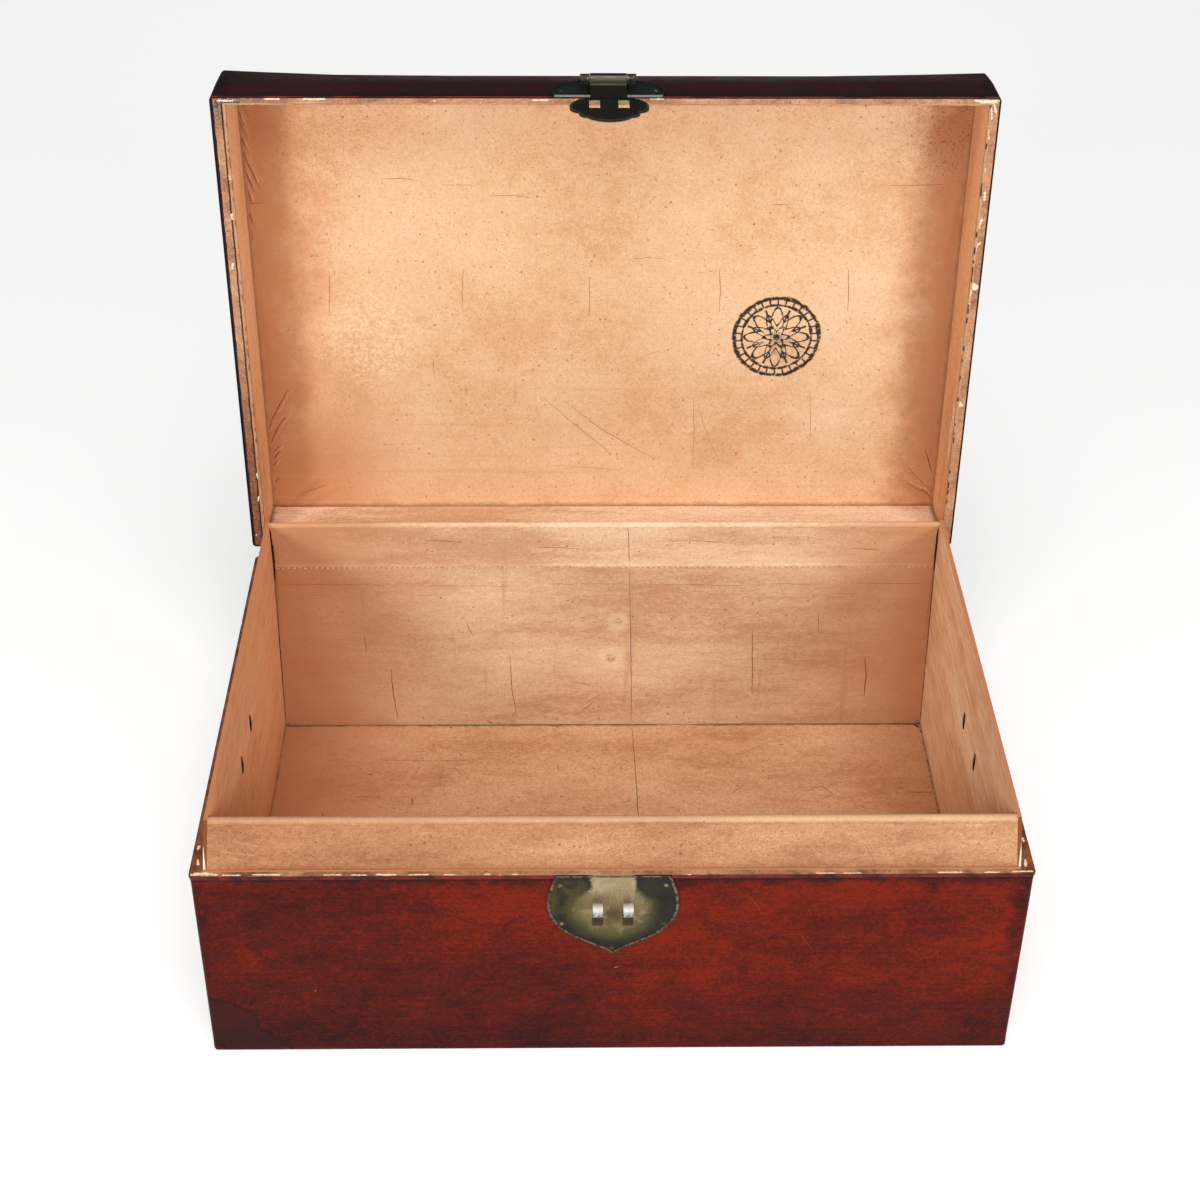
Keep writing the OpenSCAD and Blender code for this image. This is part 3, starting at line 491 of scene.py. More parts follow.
def hide_material(name, place, stretch, cloud, tones, speckled, box=None, reach=None, grime=None):
    """Undyed leather, with grime along the edges of the box."""
    b = Finish(name, Specular_IOR_Level=0.15)
    at = place(b)
    pale, warm, deep = tones
    out = b.start(HIDE, Place=at, Stretch=stretch, Cloud=cloud, Pale=pale, Warm=warm,
                  Deep=deep, Speck=SPECK, Speckled=speckled)
    if box:
        b.coat(b.edge(at, *box, reach), GRIME, grime)
    return b.done(out["Roughness"], out["Height"], 0.00035, 0.5)


def camphor_material():
    """Camphor boards under the leather."""
    b = Finish("camphor_board", Specular_IOR_Level=0.15)
    out = b.start(GRAIN, Place=base_place(b), Along=(4, 60, 60), Pale=tone(214, 166, 118),
                  Warm=tone(190, 138, 92), Deep=tone(150, 102, 66))
    return b.done(out["Roughness"], out["Height"], 0.0003, 0.45)


def bare_board_material():
    """Camphor boards left bare inside both ends: rubbed, browner at the left and on top."""
    b = Finish("bare_board", Specular_IOR_Level=0.1)
    at = base_place(b)
    out = b.start(GRAIN, Place=at, Along=(60, 4, 60), Pale=tone(252, 222, 190),
                  Warm=tone(248, 211, 174), Deep=tone(236, 188, 148))
    x, _, z = b.parts(at)
    b.coat(b.step(x, 0.1, -0.1, 0.0, 0.6), tone(228, 152, 98))
    rubbed = b.drawn(at, (60.0, 9.0, 130.0), 1.0, 5.0, 0.7, 0.4)
    b.coat(b.step(rubbed, 0.6, 0.74, 0.0, 0.45), tone(244, 222, 196))
    hair = b.drawn(at, (400.0, 26.0, 620.0), 1.0, 4.0, 0.7, 0.3)
    b.coat(b.step(hair, 0.5, 0.36, 0.0, 0.55), tone(172, 110, 70))
    dull = b.drawn(at, (10.0, 10.0, 22.0), 1.0, 4.0, 0.6)
    b.coat(b.step(dull, 0.58, 0.72, 0.0, 0.22), tone(180, 118, 76))
    low = b.step(b.plus(z, b.times(dull, 0.01)), 0.026, 0.012, 0.0, 0.2)
    b.coat(low, tone(96, 64, 46))
    _, front, top = b.parts(b.put("NewGeometry").outputs["Normal"])
    off = b.size(x)
    edge = b.times(b.step(top, 0.6, 0.8), b.step(off, 0.3582, 0.3576))
    b.coat(edge, tone(182, 116, 78), 0.9)
    end = b.step(front, -0.6, -0.8)
    b.coat(end, tone(238, 218, 196), 0.85)
    gap = b.times(end, b.step(off, 0.3568, 0.3562))
    b.coat(gap, tone(120, 66, 40))
    return b.done(out["Roughness"], out["Height"], 0.0003, 0.45)


def lacquer_ground(b, at, tones, box, extra=None):
    """The lacquer's first coat, darkened along the edges of the box and where extra is high."""
    darkened = b.times(b.edge(at, *box, 0.022, 0.5), 0.75)
    if extra is not None:
        darkened = b.most(darkened, extra)
    bright, deep, dark = tones
    return b.start(LACQUER, Place=at, Bright=bright, Deep=deep, Dark=dark, Streaks=0.3,
                   Darkened=darkened)


def base_lacquer_material():
    """Red lacquer, darker towards the left and the bottom, with a stain and a seam at the rim."""
    b = Finish("base_lacquer", Specular_IOR_Level=0.06)
    at = base_place(b)
    x, _, z = b.parts(at)
    low = b.times(b.step(z, 0.17, 0.0, 0.0, 0.55), b.step(x, -0.37, 0.3, 0.7, 1.25))
    left = b.step(x, 0.05, -0.37, 0.0, 0.4)
    out = lacquer_ground(b, at, (tone(112, 28, 8), tone(72, 18, 10), tone(38, 11, 13)),
                         ((0, 0, 111), (CASE_X, CASE_Y, 112)), b.plus(low, left))
    stain_shape(b, at)
    seam_z = 0.2166
    waver = b.times(b.noise(at, 60.0, 4.0, 0.6), 0.0012)
    seam = b.step(b.gap(b.plus(z, waver), seam_z), 0.0019, 0.0008)
    faint = b.step(b.drawn(at, (1.0, 1.0, 0.2), 45.0), 0.4, 0.6, 0.35, 0.85)
    b.coat(b.times(faint, seam), tone(34, 18, 26))
    return b.done(out["Roughness"], out["Height"], 0.0004, 0.4)


def lid_lacquer_material():
    """Dark lacquer, worn orange along the lower edge of the lid's front."""
    b = Finish("lid_lacquer", Specular_IOR_Level=0.06)
    at = lid_place(b)
    out = lacquer_ground(b, at, (tone(61, 24, 21), tone(41, 20, 22), tone(26, 15, 19)),
                         ((0, 0, 264), (CASE_X, CASE_Y, 43)))
    _, y, z = b.parts(at)
    ragged = b.drawn(at, (28.0, 90.0, 90.0), 1.0, 4.0, 0.65)
    height = b.plus(z, b.times(ragged, 0.002))
    worn = b.step(height, (LID_Z + 3.0) * MM, (LID_Z + 1.8) * MM)
    front = b.step(y, (0.8 - CASE_Y) * MM, (0.2 - CASE_Y) * MM)
    b.coat(b.times(worn, front, b.step(ragged, 0.42, 0.58, 0.1, 0.8)), tone(150, 48, 16))
    return b.done(out["Roughness"], out["Height"], 0.0004, 0.4)


# Scallops of the damp stain at the front's lower left: x, z and radius
STAIN = [(-362, 40, 27), (-352, 36, 26), (-344, 22, 22), (-331, 10, 20), (-318, 4, 16),
         (-309, -4, 15), (-372, 60, 12)]


def stain_shape(b, at):
    """Darkens the front inside the stain's scallops, with a darker tide line round it."""
    x, y, z = b.parts(at)
    flat = b.put("CombineXYZ", x, 0.0, z).outputs[0]
    waver = b.sway(b.noise(at, 90.0, 4.0, 0.6), 0.006)
    inside = None
    for sx, sz, radius in STAIN:
        gap = b.vector("DISTANCE", flat, (sx * MM, 0.0, sz * MM))
        depth = b.minus(radius * MM, gap)
        inside = depth if inside is None else b.most(inside, depth)
    inside = b.plus(inside, waver)
    front = b.reckon("LESS_THAN", y, -0.2)
    body = b.times(b.step(inside, -0.0012, 0.0006), front)
    line = b.times(b.step(b.size(inside), 0.0022, 0.0003), front)
    b.coat(body, tone(44, 20, 24), 0.6)
    b.coat(line, tone(30, 10, 12), 0.6)


# Two-tone finishes of threads, flakes and scratches: name, light tone and dark tone
PLAIN_FINISHES = {
    "thread": ("pale_thread", (240, 212, 172), (214, 172, 128)),
    "thread_hole": ("thread_hole", (164, 108, 72), (134, 82, 54)),
    "dark_mark": ("dark_mark", (50, 28, 22), (30, 18, 18)),
    "crease": ("shadowed_crease", (156, 94, 60), (122, 68, 42)),
    "crest": ("lit_crest", (228, 176, 134), (206, 150, 108)),
    "dark_thread": ("dark_thread", (70, 44, 30), (44, 28, 20)),
    "scratch": ("scratch_dark", (128, 70, 42), (92, 48, 30)),
    "lid_scratch": ("scratch_brown", (172, 106, 66), (142, 82, 50)),
    "pale_mark": ("pale_scuff", (210, 164, 124), (192, 144, 106)),
    "gesso": ("bare_gesso", (238, 226, 200), (216, 188, 150)),
}


def plain_material(name, light, dark):
    """A small two-tone finish."""
    b = Finish(name, Specular_IOR_Level=0.15)
    speck = b.noise(base_place(b), 500.0, 3.0, 0.6)
    b.color = b.blend(b.step(speck, 0.35, 0.65), tone(*dark), tone(*light))
    return b.done(b.step(speck, 0.3, 0.7, 0.6, 0.8), speck, 0.0002, 0.4)


def make_materials():
    lid_room = ((0, 0, 260), (LID_ROOM_X, LID_ROOM_Y, 37))
    made = {
        "base_lacquer": base_lacquer_material(),
        "lid_lacquer": lid_lacquer_material(),
        "base_rim": ledge_material(),
        "lid_rim": lid_rim_material(),
        "bottom_paper": hide_material(
            "bottom_paper", base_place, (1, 1, 1), 9.0,
            (tone(120, 84, 60), tone(98, 66, 48), tone(74, 48, 36)), 0.3),
        "panel": panel_material(),
        "lid_wall": hide_material(
            "lid_wall_hide", lid_place, (1.0, 0.25, 1.4), 12.0,
            (tone(242, 193, 150), tone(233, 180, 136), tone(212, 150, 108)), 0.2,
            lid_room, 0.007, 0.5),
        "lid_sill": hide_material(
            "lid_sill_hide", lid_place, (0.25, 1.0, 1.4), 12.0,
            (tone(246, 220, 194), tone(238, 206, 174), tone(212, 168, 130)), 0.25,
            lid_room, 0.006, 0.7),
        "front_lip": front_lip_material(),
        "lip": wall_material(
            "lip_hide", (0.35, 1.0, 1.6), (0, 0, 320),
            (tone(252, 226, 192), tone(243, 208, 172), tone(219, 174, 135)),
            tone(192, 132, 90)),
        "wall": wall_material(
            "back_wall_hide", (0.3, 1.0, 1.3), (0, 0, 116),
            (tone(232, 200, 164), tone(218, 180, 144), tone(196, 150, 114)),
            tone(184, 121, 80)),
        "floor": floor_material(),
        "bare_board": bare_board_material(),
        "camphor": camphor_material(),
        "lock_brass": lock_brass_material(),
        "bronze": bronze_material(),
        "fitting_brass": fitting_material(
            "fitting_brass", (tone(152, 132, 84), tone(102, 88, 54), tone(66, 57, 38))),
        "post_metal": fitting_material(
            "post_metal", (tone(140, 123, 80), tone(86, 74, 48), tone(52, 44, 32)),
            prongs=True),
        "steel": fitting_material(
            "steel_strip", (tone(222, 220, 216), tone(164, 162, 158), tone(86, 82, 78)),
            prongs=True, mottle=420.0, highlight_above=0.187),
        "nail": fitting_material(
            "nail_heads", (tone(160, 140, 104), tone(94, 80, 56), tone(50, 43, 33)),
            mottle=260.0),
    }
    for key, plain in PLAIN_FINISHES.items():
        made[key] = plain_material(*plain)
    return made


def chip_mark(b):
    """How far a rim is chipped, as its mesh says."""
    return b.put("Attribute", attribute_name="chip").outputs["Fac"]


def ledge_material():
    """Ledge and bead round the base: white ground chipped bare in front, brown ends, red bead."""
    b = Finish("base_rim", Specular_IOR_Level=0.12)
    at = base_place(b)
    out = b.start(HIDE, Place=at, Stretch=(1, 1, 1), Cloud=26.0, Pale=tone(190, 152, 122),
                  Warm=tone(162, 120, 94), Deep=tone(118, 82, 64), Speck=tone(66, 42, 36),
                  Speckled=0.8)
    x, y, _ = b.parts(b.vector("ABSOLUTE", at))
    dirt = b.noise(at, 55.0, 5.0, 0.65)
    ragged = b.noise(at, 240.0, 4.0, 0.7)
    b.coat(b.step(dirt, 0.48, 0.66, 0.0, 0.6), tone(84, 60, 52))
    brown = b.blend(b.step(dirt, 0.4, 0.62), tone(132, 78, 52), tone(82, 46, 35))
    b.coat(b.step(x, 0.3586, 0.3592, 0.0, 0.9), brown)
    back = b.minus(CASE_Y * MM, y)
    foot = b.step(b.plus(back, b.times(ragged, 0.001)), 0.0060, 0.0068)
    foot = b.times(foot, b.step(x, 0.3588, 0.3582))
    b.coat(foot, tone(176, 120, 84))
    chip = b.plus(chip_mark(b), b.sway(ragged, 1.6))
    b.coat(b.step(chip, 0.42, 0.56), tone(232, 216, 194))
    past = b.most(b.minus(x, (CASE_X + 0.1) * MM), b.minus(y, (CASE_Y + 0.1) * MM))
    bead = b.step(b.plus(past, b.sway(ragged, 0.0008)), -0.0001, 0.0002)
    b.coat(bead, b.blend(b.step(dirt, 0.38, 0.62), tone(104, 36, 22), tone(56, 23, 25)))
    return b.done(out["Roughness"], out["Height"], 0.0004, 0.6)


def lid_rim_material():
    """Raw rim of the lid: tan and speckled, dark outside and along the lining, browner behind."""
    b = Finish("lid_rim", Specular_IOR_Level=0.12)
    at = lid_place(b)
    out = b.start(HIDE, Place=at, Stretch=(1, 1, 1), Cloud=26.0, Pale=tone(204, 158, 122),
                  Warm=tone(182, 134, 102), Deep=tone(146, 102, 78), Speck=tone(84, 50, 38),
                  Speckled=0.9)
    x, y, _ = b.parts(at)
    dirt = b.noise(at, 55.0, 5.0, 0.65)
    fine = b.noise(at, 380.0, 4.0, 0.72)
    b.coat(b.step(fine, 0.54, 0.64, 0.0, 0.5), tone(104, 70, 56))
    b.coat(b.step(dirt, 0.5, 0.66, 0.0, 0.45), tone(110, 84, 78))
    left = b.step(x, -0.30, -0.33)
    behind = b.times(left, b.step(y, -0.02, 0.18, 0.0, 0.85))
    b.coat(behind, b.blend(b.step(fine, 0.4, 0.6), tone(138, 78, 48), tone(84, 46, 34)))
    corner = b.times(b.step(x, -0.325, -0.352), b.step(y, -0.21, -0.236, 0.0, 0.9))
    b.coat(corner, b.blend(b.step(fine, 0.42, 0.6), tone(56, 44, 46), tone(150, 128, 112)))
    chip = b.plus(chip_mark(b), b.sway(fine, 1.2))
    b.coat(b.step(chip, 0.5, 0.62), tone(226, 208, 178))
    place = b.plus(x, b.sway(dirt, 0.003))
    right = b.step(x, 0.30, 0.33)
    # The lining's edge, the width of the dark gap beside it and the dark outer edge, in metres
    for side, inner, line, edge in ((left, -0.3620, 0.0010, -0.3706),
                                    (right, 0.3596, 0.0008, 0.3692)):
        sign = math.copysign(1.0, inner)
        inside = b.step(y, -0.2405, -0.2395)
        lining = b.step(b.times(b.minus(inner, place), sign), -0.0001, 0.0002)
        b.coat(b.times(side, inside, lining), tone(172, 114, 78))
        gap = b.gap(place, inner + sign * line)
        gap = b.times(inside, b.step(gap, line * 1.1, line * 0.6, 0.0, 0.92))
        b.coat(gap, tone(48, 28, 22))
        outer = b.times(b.minus(place, edge), sign)
        b.coat(b.times(side, b.step(outer, -0.0002, 0.0002)), tone(40, 24, 30))
    return b.done(out["Roughness"], out["Height"], 0.0004, 0.6)


# Middle of the ink flower on the lid's lining, in metres
FLOWER_PLACE = (0.1785, 0.0375, 0.0)


def panel_material():
    """The lid's large lining: pale in the middle, brown at the left partly as painted shadow, an
    ink flower.
    """
    b = Finish("lid_panel_hide", Specular_IOR_Level=0.1)
    at = lid_place(b)
    out = b.start(HIDE, Place=at, Stretch=(1, 1, 1), Cloud=9.0, Pale=tone(229, 190, 153),
                  Warm=tone(223, 182, 142), Deep=tone(213, 164, 122), Speck=tone(146, 80, 50),
                  Speckled=0.75, Pebbled=0.42)
    x, y, _ = b.parts(at)
    b.shade(b.step(x, 0.0, 0.3, 0.0, 0.6), (1.02, 1.09, 1.16, 1))
    drift = b.sway(b.noise(at, 14.0, 5.0, 0.65), 0.14)
    blotch = b.noise(at, 46.0, 6.0, 0.72, 0.4)
    ragged = b.plus(b.sway(blotch, 0.07), b.times(drift, 0.5))
    # Both ends are browned, partly stain and partly painted shadow of the lid's side walls; the
    # band near the hinge and the patch at lower left are browned too.
    ends = b.step(b.minus(ragged, x), 0.268, 0.345, 0.0, 0.9)
    right = b.step(b.plus(ragged, x), 0.275, 0.345, 0.0, 0.85)
    low = b.step(b.plus(y, drift), 0.14, 0.24, 0.0, 0.16)
    corner = b.times(b.step(x, -0.17, -0.33), b.step(y, 0.03, 0.19))
    b.coat(b.most(ends, right, low, b.times(corner, 0.9)), tone(189, 125, 83))
    flat = b.put("CombineXYZ", x, y, 0.0).outputs[0]

    def round_spot(spot_x, spot_y, far, near):
        return b.step(b.vector("DISTANCE", flat, (spot_x, spot_y, 0.0)), far, near)

    halo = round_spot(-0.238, 0.055, 0.13, 0.04)
    b.coat(b.times(halo, b.step(blotch, 0.5, 0.36, 0.0, 0.25)), tone(206, 146, 100))
    worn = round_spot(-0.240, 0.040, 0.075, 0.02)
    flaking = b.noise(at, 230.0, 5.0, 0.75, 0.8)
    torn = b.times(worn, b.step(flaking, 0.46, 0.58))
    b.coat(torn, tone(244, 216, 184), 0.45)
    lines = b.drawn(at, (5.0, 160.0, 1.0), 1.0, 4.0, 0.65)
    lines = b.times(b.step(lines, 0.54, 0.68, 0.0, 0.35), b.step(y, -0.05, 0.15))
    b.coat(lines, tone(206, 150, 108))
    mildew = round_spot(-0.29, -0.19, 0.12, 0.03)
    speck = b.step(b.noise(at, 430.0, 4.0, 0.7), 0.55, 0.64, 0.0, 0.7)
    b.coat(b.times(mildew, speck), tone(156, 98, 66), 0.6)
    mildew = round_spot(0.335, -0.185, 0.08, 0.02)
    b.coat(b.times(mildew, speck), tone(110, 74, 56))
    edge = b.edge(at, (0, 0, LINING_Z), (LID_ROOM_X, LID_ROOM_Y, 0), 0.005, 0.4)
    b.coat(edge, tone(140, 84, 54), 0.45)
    smudge = round_spot(0.186, 0.052, 0.026, 0.008)
    b.coat(b.times(smudge, b.step(blotch, 0.4, 0.6, 0.1, 0.5)), tone(96, 80, 84))
    flower = b.put("Mapping", vector_type="TEXTURE")
    b.feed(flower.inputs["Vector"], at)
    flower.inputs["Location"].default_value = FLOWER_PLACE
    ink = b.group(INK, Place=flower.outputs[0])["Ink"]
    b.coat(ink, tone(26, 23, 26), 0.96)
    return b.done(out["Roughness"], out["Height"], 0.00035, 0.45)


# Old scars in the back wall's hide: place, reach and reach of the core, in millimetres
SCARS = [((14, 228, 148), 17, 6), ((7, 226, 101), 20, 7)]


def scar(b, at, place, reach):
    """Mask of a round soft spot, in millimetres."""
    gap = b.vector("DISTANCE", at, [v * MM for v in place])
    ragged = b.sway(b.noise(at, 150.0, 4.0, 0.65), 0.006)
    return b.step(b.plus(gap, ragged), reach * MM, reach * 0.45 * MM)


def wall_material(name, stretch, centre, tones, end_shade_tone):
    """Leather of the back wall and its lip, deeper towards both ends with painted shade of the
    side boards, with two old scars.
    """
    b = Finish(name, Specular_IOR_Level=0.1)
    at = base_place(b)
    pale, warm, deep = tones
    out = b.start(HIDE, Place=at, Stretch=stretch, Cloud=12.0, Pale=pale, Warm=warm, Deep=deep,
                  Speck=SPECK, Speckled=0.5, Pebbled=0.5)
    x, _, _ = b.parts(at)
    drift = b.sway(b.noise(at, 9.0, 4.0, 0.6), 0.12)
    # Painted shade: both ends darkened as if shaded by the side boards.
    b.coat(b.step(b.plus(b.gap(x, 0.012), drift), 0.14, 0.34, 0.0, 0.82), end_shade_tone)
    upright = b.drawn(at, (70.0, 1.0, 6.0), 1.0, 3.0, 0.6)
    b.coat(b.step(upright, 0.62, 0.75, 0.0, 0.35), tone(184, 122, 82))
    for spot, reach, _ in SCARS:
        b.coat(scar(b, at, spot, reach), tone(240, 214, 180), 0.34)
    ragged = b.step(b.noise(at, 330.0, 4.0, 0.7), 0.46, 0.56)
    for spot, _, core in SCARS:
        b.coat(b.times(scar(b, at, spot, core), ragged), tone(164, 122, 92), 0.75)
    b.coat(b.edge(at, centre, (351.5, 232, 105), 0.005), GRIME, 0.5)
    return b.done(out["Roughness"], out["Height"], 0.00035, 0.5)


def front_lip_material():
    """The front lip: handled most, so browner, with grey thumb marks and a painted highlight along
    its rounded top edge.
    """
    b = Finish("front_lip_hide", Specular_IOR_Level=0.1)
    at = base_place(b)
    out = b.start(HIDE, Place=at, Stretch=(0.4, 1.0, 1.5), Cloud=13.0,
                  Pale=tone(203, 160, 122), Warm=tone(185, 138, 102), Deep=tone(161, 113, 81),
                  Speck=tone(100, 60, 40), Speckled=0.6, Pebbled=0.85)
    x, _, z = b.parts(at)
    b.shade(b.step(x, 0.36, -0.36, 0.0, 0.8), (0.80, 0.65, 0.60, 1))
    crease = b.drawn(at, (30.0, 30.0, 90.0), 4.0, 4.0, 0.7, 1.5)
    b.coat(b.step(crease, 0.58, 0.68, 0.0, 0.25), tone(214, 168, 124))
    thumb = b.drawn(at, (1.0, 1.0, 1.8), 18.0, 4.0, 0.6, 0.4)
    b.coat(b.step(thumb, 0.6, 0.72, 0.0, 0.4), tone(132, 96, 70))
    # Painted highlight: a light band along the lip's rounded top edge, brighter to the right.
    top = b.step(b.plus(z, b.times(thumb, 0.002)), 0.2705, 0.2740, 0.0, 0.42)
    b.coat(top, b.blend(b.step(x, -0.3, 0.2), tone(202, 158, 122), tone(226, 188, 150)))
    fold_z = 0.2688
    b.coat(b.step(b.gap(z, fold_z), 0.0014, 0.0004, 0.0, 0.25), tone(146, 92, 60))
    height = b.plus(out["Height"], b.times(crease, 1.2))
    return b.done(out["Roughness"], height, 0.00035, 0.5)


def floor_material():
    """The floor's leather: darker, stained, with black grime in the corner all round."""
    b = Finish("floor_hide", Specular_IOR_Level=0.1)
    at = base_place(b)
    out = b.start(HIDE, Place=at, Stretch=(0.35, 1.0, 1.0), Cloud=12.0, Pale=tone(226, 184, 146),
                  Warm=tone(216, 167, 127), Deep=tone(192, 138, 100), Speck=tone(110, 60, 36),
                  Speckled=0.6, Pebbled=0.8)
    x, _, _ = b.parts(at)
    ends = b.most(b.step(x, -0.12, -0.35, 0.0, 0.8), b.step(x, 0.2, 0.38, 0.0, 0.5))
    b.coat(ends, tone(180, 118, 80))
    stain = b.noise(at, 14.0, 5.0, 0.65, 0.4)
    b.coat(b.step(stain, 0.58, 0.72, 0.0, 0.3), tone(128, 84, 60))
    smudge = b.drawn(at, (1.0, 1.6, 1.0), 30.0, 4.0, 0.6, 0.3)
    b.coat(b.step(smudge, 0.66, 0.76, 0.0, 0.35), tone(112, 88, 72))
    b.coat(b.edge(at, (0, -4.5, FLOOR_FACE), (355.5, 227, 0), 0.005), tone(66, 50, 42), 0.8)
    return b.done(out["Roughness"], out["Height"], 0.00035, 0.45)


def lock_brass_material():
    """The lock plate: near black round the sides, rubbed bare where the hasp hangs."""
    rub_z, staple_x, edge_y = 0.182, 0.0135, -0.24845
    b = Finish("lock_brass", Metallic=0.4, Specular_IOR_Level=0.2)
    at = base_place(b)
    x, y, z = b.parts(at)
    drift = b.sway(b.noise(at, 75.0, 6.0, 0.68), 0.016)
    off = b.plus(b.size(x), drift)
    neck = b.times(b.step(off, 0.0215, 0.0165), b.step(z, 0.185, 0.2))
    low = b.most(b.minus(rub_z, z), 0.0)
    high = b.most(b.minus(z, rub_z), 0.0)
    oval = b.put("CombineXYZ", b.reckon("DIVIDE", off, 0.0350), b.reckon("DIVIDE", low, 0.034),
                 b.reckon("DIVIDE", high, 0.027)).outputs[0]
    from_middle = b.vector("LENGTH", oval)
    worn = b.most(neck, b.step(from_middle, 1.10, 0.70))
    out = b.start(METAL, Place=at, Worn=0.0, Mottle=55.0, Light=tone(66, 60, 44),
                  Mid=tone(45, 41, 33), Dark=tone(28, 27, 25))
    cloud = b.noise(at, 48.0, 5.0, 0.65, 0.4)
    side = b.step(b.plus(x, drift), -0.016, -0.030)
    olive = b.times(side, b.step(z, 0.160, 0.176), b.step(z, 0.219, 0.212),
                    b.step(cloud, 0.40, 0.56))
    b.coat(olive, tone(69, 61, 24), 0.85)
    fringe = b.step(from_middle, 1.26, 0.98, 0.0, 0.75)
    b.coat(b.times(fringe, b.step(z, 0.205, 0.19)), tone(70, 66, 34))
    brush = b.drawn(at, (420.0, 60.0, 70.0), 1.0, 4.0, 0.65)
    height = b.plus(z, b.sway(cloud, 0.04), b.sway(brush, 0.03))
    bare = b.blend(b.step(height, 0.157, 0.182), tone(92, 83, 48), tone(119, 104, 71))
    bare = b.blend(b.step(height, 0.186, 0.208), bare, tone(149, 132, 100))
    sheen = b.drawn(at, (1.4, 1.0, 1.0), 34.0, 3.0, 0.6, 0.8)
    bare = b.blend(b.step(sheen, 0.50, 0.64, 0.0, 0.5), bare, tone(170, 156, 122))
    bare = b.blend(b.step(sheen, 0.46, 0.34, 0.0, 0.45), bare, tone(88, 78, 44))
    b.coat(worn, bare)
    brown = b.put("CombineXYZ", b.reckon("DIVIDE", x, 0.010), 0.0,
                  b.reckon("DIVIDE", b.minus(z, 0.174), 0.010)).outputs[0]
    b.coat(b.step(b.vector("LENGTH", brown), 1.3, 0.3, 0.0, 0.7), tone(70, 52, 28))
    # Painted shadow: a dark patch on the plate below each staple, lighter at its foot.
    under = b.times(b.step(b.gap(b.size(x), staple_x), 0.0052, 0.0046),
                    b.step(z, 0.1585, 0.1595), b.step(z, 0.182, 0.181))
    b.coat(under, b.blend(b.step(z, 0.1635, 0.160), tone(44, 36, 28), tone(112, 90, 64)), 0.9)
    rim = b.step(y, edge_y, edge_y - 0.0002)
    inner = b.noise(at, 300.0, 3.0, 0.6)
    b.coat(rim, b.blend(b.step(inner, 0.42, 0.58), tone(52, 45, 40), tone(112, 94, 80)), 0.9)
    rough = b.noise(at, 800.0, 3.0, 0.75)
    b.coat(b.step(rough, 0.54, 0.66, 0.0, 0.4), tone(30, 28, 26))
    scuff = b.drawn(at, (260.0, 60.0, 150.0), 1.5, 5.0, 0.75, 0.8)
    b.coat(b.step(scuff, 0.58, 0.72, 0.0, 0.16), tone(160, 150, 124))
    return b.done(b.plus(out["Roughness"], 0.16), out["Height"], 0.00025, 0.4)


def bronze_material():
    """The hasp and its plate: near black, grey on the barrel, brown on the rough knuckles, with
    painted highlights and shade.
    """
    knuckle_x, slot_x, slot_z = 0.0175, 0.0135, 0.1963
    b = Finish("dark_bronze", Metallic=0.75, Specular_IOR_Level=0.2)
    at = lid_place(b)
    x, y, z = b.parts(at)
    off = b.size(x)
    streak = b.drawn(at, (70.0, 500.0, 500.0), 1.0, 4.0, 0.65)
    out = b.start(METAL, Place=at, Worn=0.0, Mottle=90.0, Light=tone(90, 88, 76),
                  Mid=tone(44, 43, 34), Dark=tone(26, 26, 24))
    proud = b.step(y, -0.2495, -0.2503)
    barrel = b.times(proud, b.step(z, 0.2372, 0.2378),
                     b.step(off, knuckle_x + 0.0003, knuckle_x - 0.0003))
    # The barrel's grey, with a painted highlight line along it and painted shade on its side that
    # faces up while the lid stands open.
    barrel_grey_with_light = b.blend(streak, tone(66, 63, 55), tone(122, 118, 108))
    ring = b.step(b.gap(z, 0.2392), 0.0016, 0.0008)
    barrel_grey_with_light = b.blend(ring, barrel_grey_with_light, tone(150, 146, 104))
    barrel_grey_with_light = b.blend(b.step(y, -0.2572, -0.2582), barrel_grey_with_light, tone(40, 38, 32))
    b.coat(barrel, barrel_grey_with_light)
    pitted = b.noise(at, 420.0, 4.0, 0.7)
    knuckle = b.times(b.step(off, knuckle_x - 0.0002, knuckle_x + 0.0003), proud,
                      b.step(z, 0.2425, 0.2445))
    b.coat(knuckle, b.blend(b.step(pitted, 0.4, 0.6), tone(52, 42, 40), tone(128, 112, 100)), 0.9)
    wing = b.times(b.step(off, 0.019, 0.021), b.step(z, 0.222, 0.2225))
    b.coat(wing, tone(44, 49, 54), 0.6)
    foot = b.times(b.step(z, 0.2247, 0.2241), b.step(y, -0.2520, -0.2510))
    b.coat(foot, tone(150, 146, 138), 0.85)
    # Painted highlight: light olive along the raised border of the hasp's lower lobes.
    border_highlight = b.times(b.step(z, 0.2, 0.195), b.step(y, -0.2531, -0.2535))
    b.coat(b.times(border_highlight, b.step(pitted, 0.4, 0.6, 0.4, 0.9)), tone(136, 126, 76))
    # Painted highlight: the top wall inside each slot, which faces down, is painted light olive.
    slot_top_highlight = b.times(b.step(b.gap(z, slot_z), 0.0005, 0.0003),
                       b.step(b.gap(off, slot_x), 0.0056, 0.0052))
    b.coat(slot_top_highlight, tone(150, 146, 96))
    height = b.plus(out["Height"], b.times(pitted, knuckle))
    return b.done(b.plus(out["Roughness"], 0.1), height, 0.0003, 0.5)


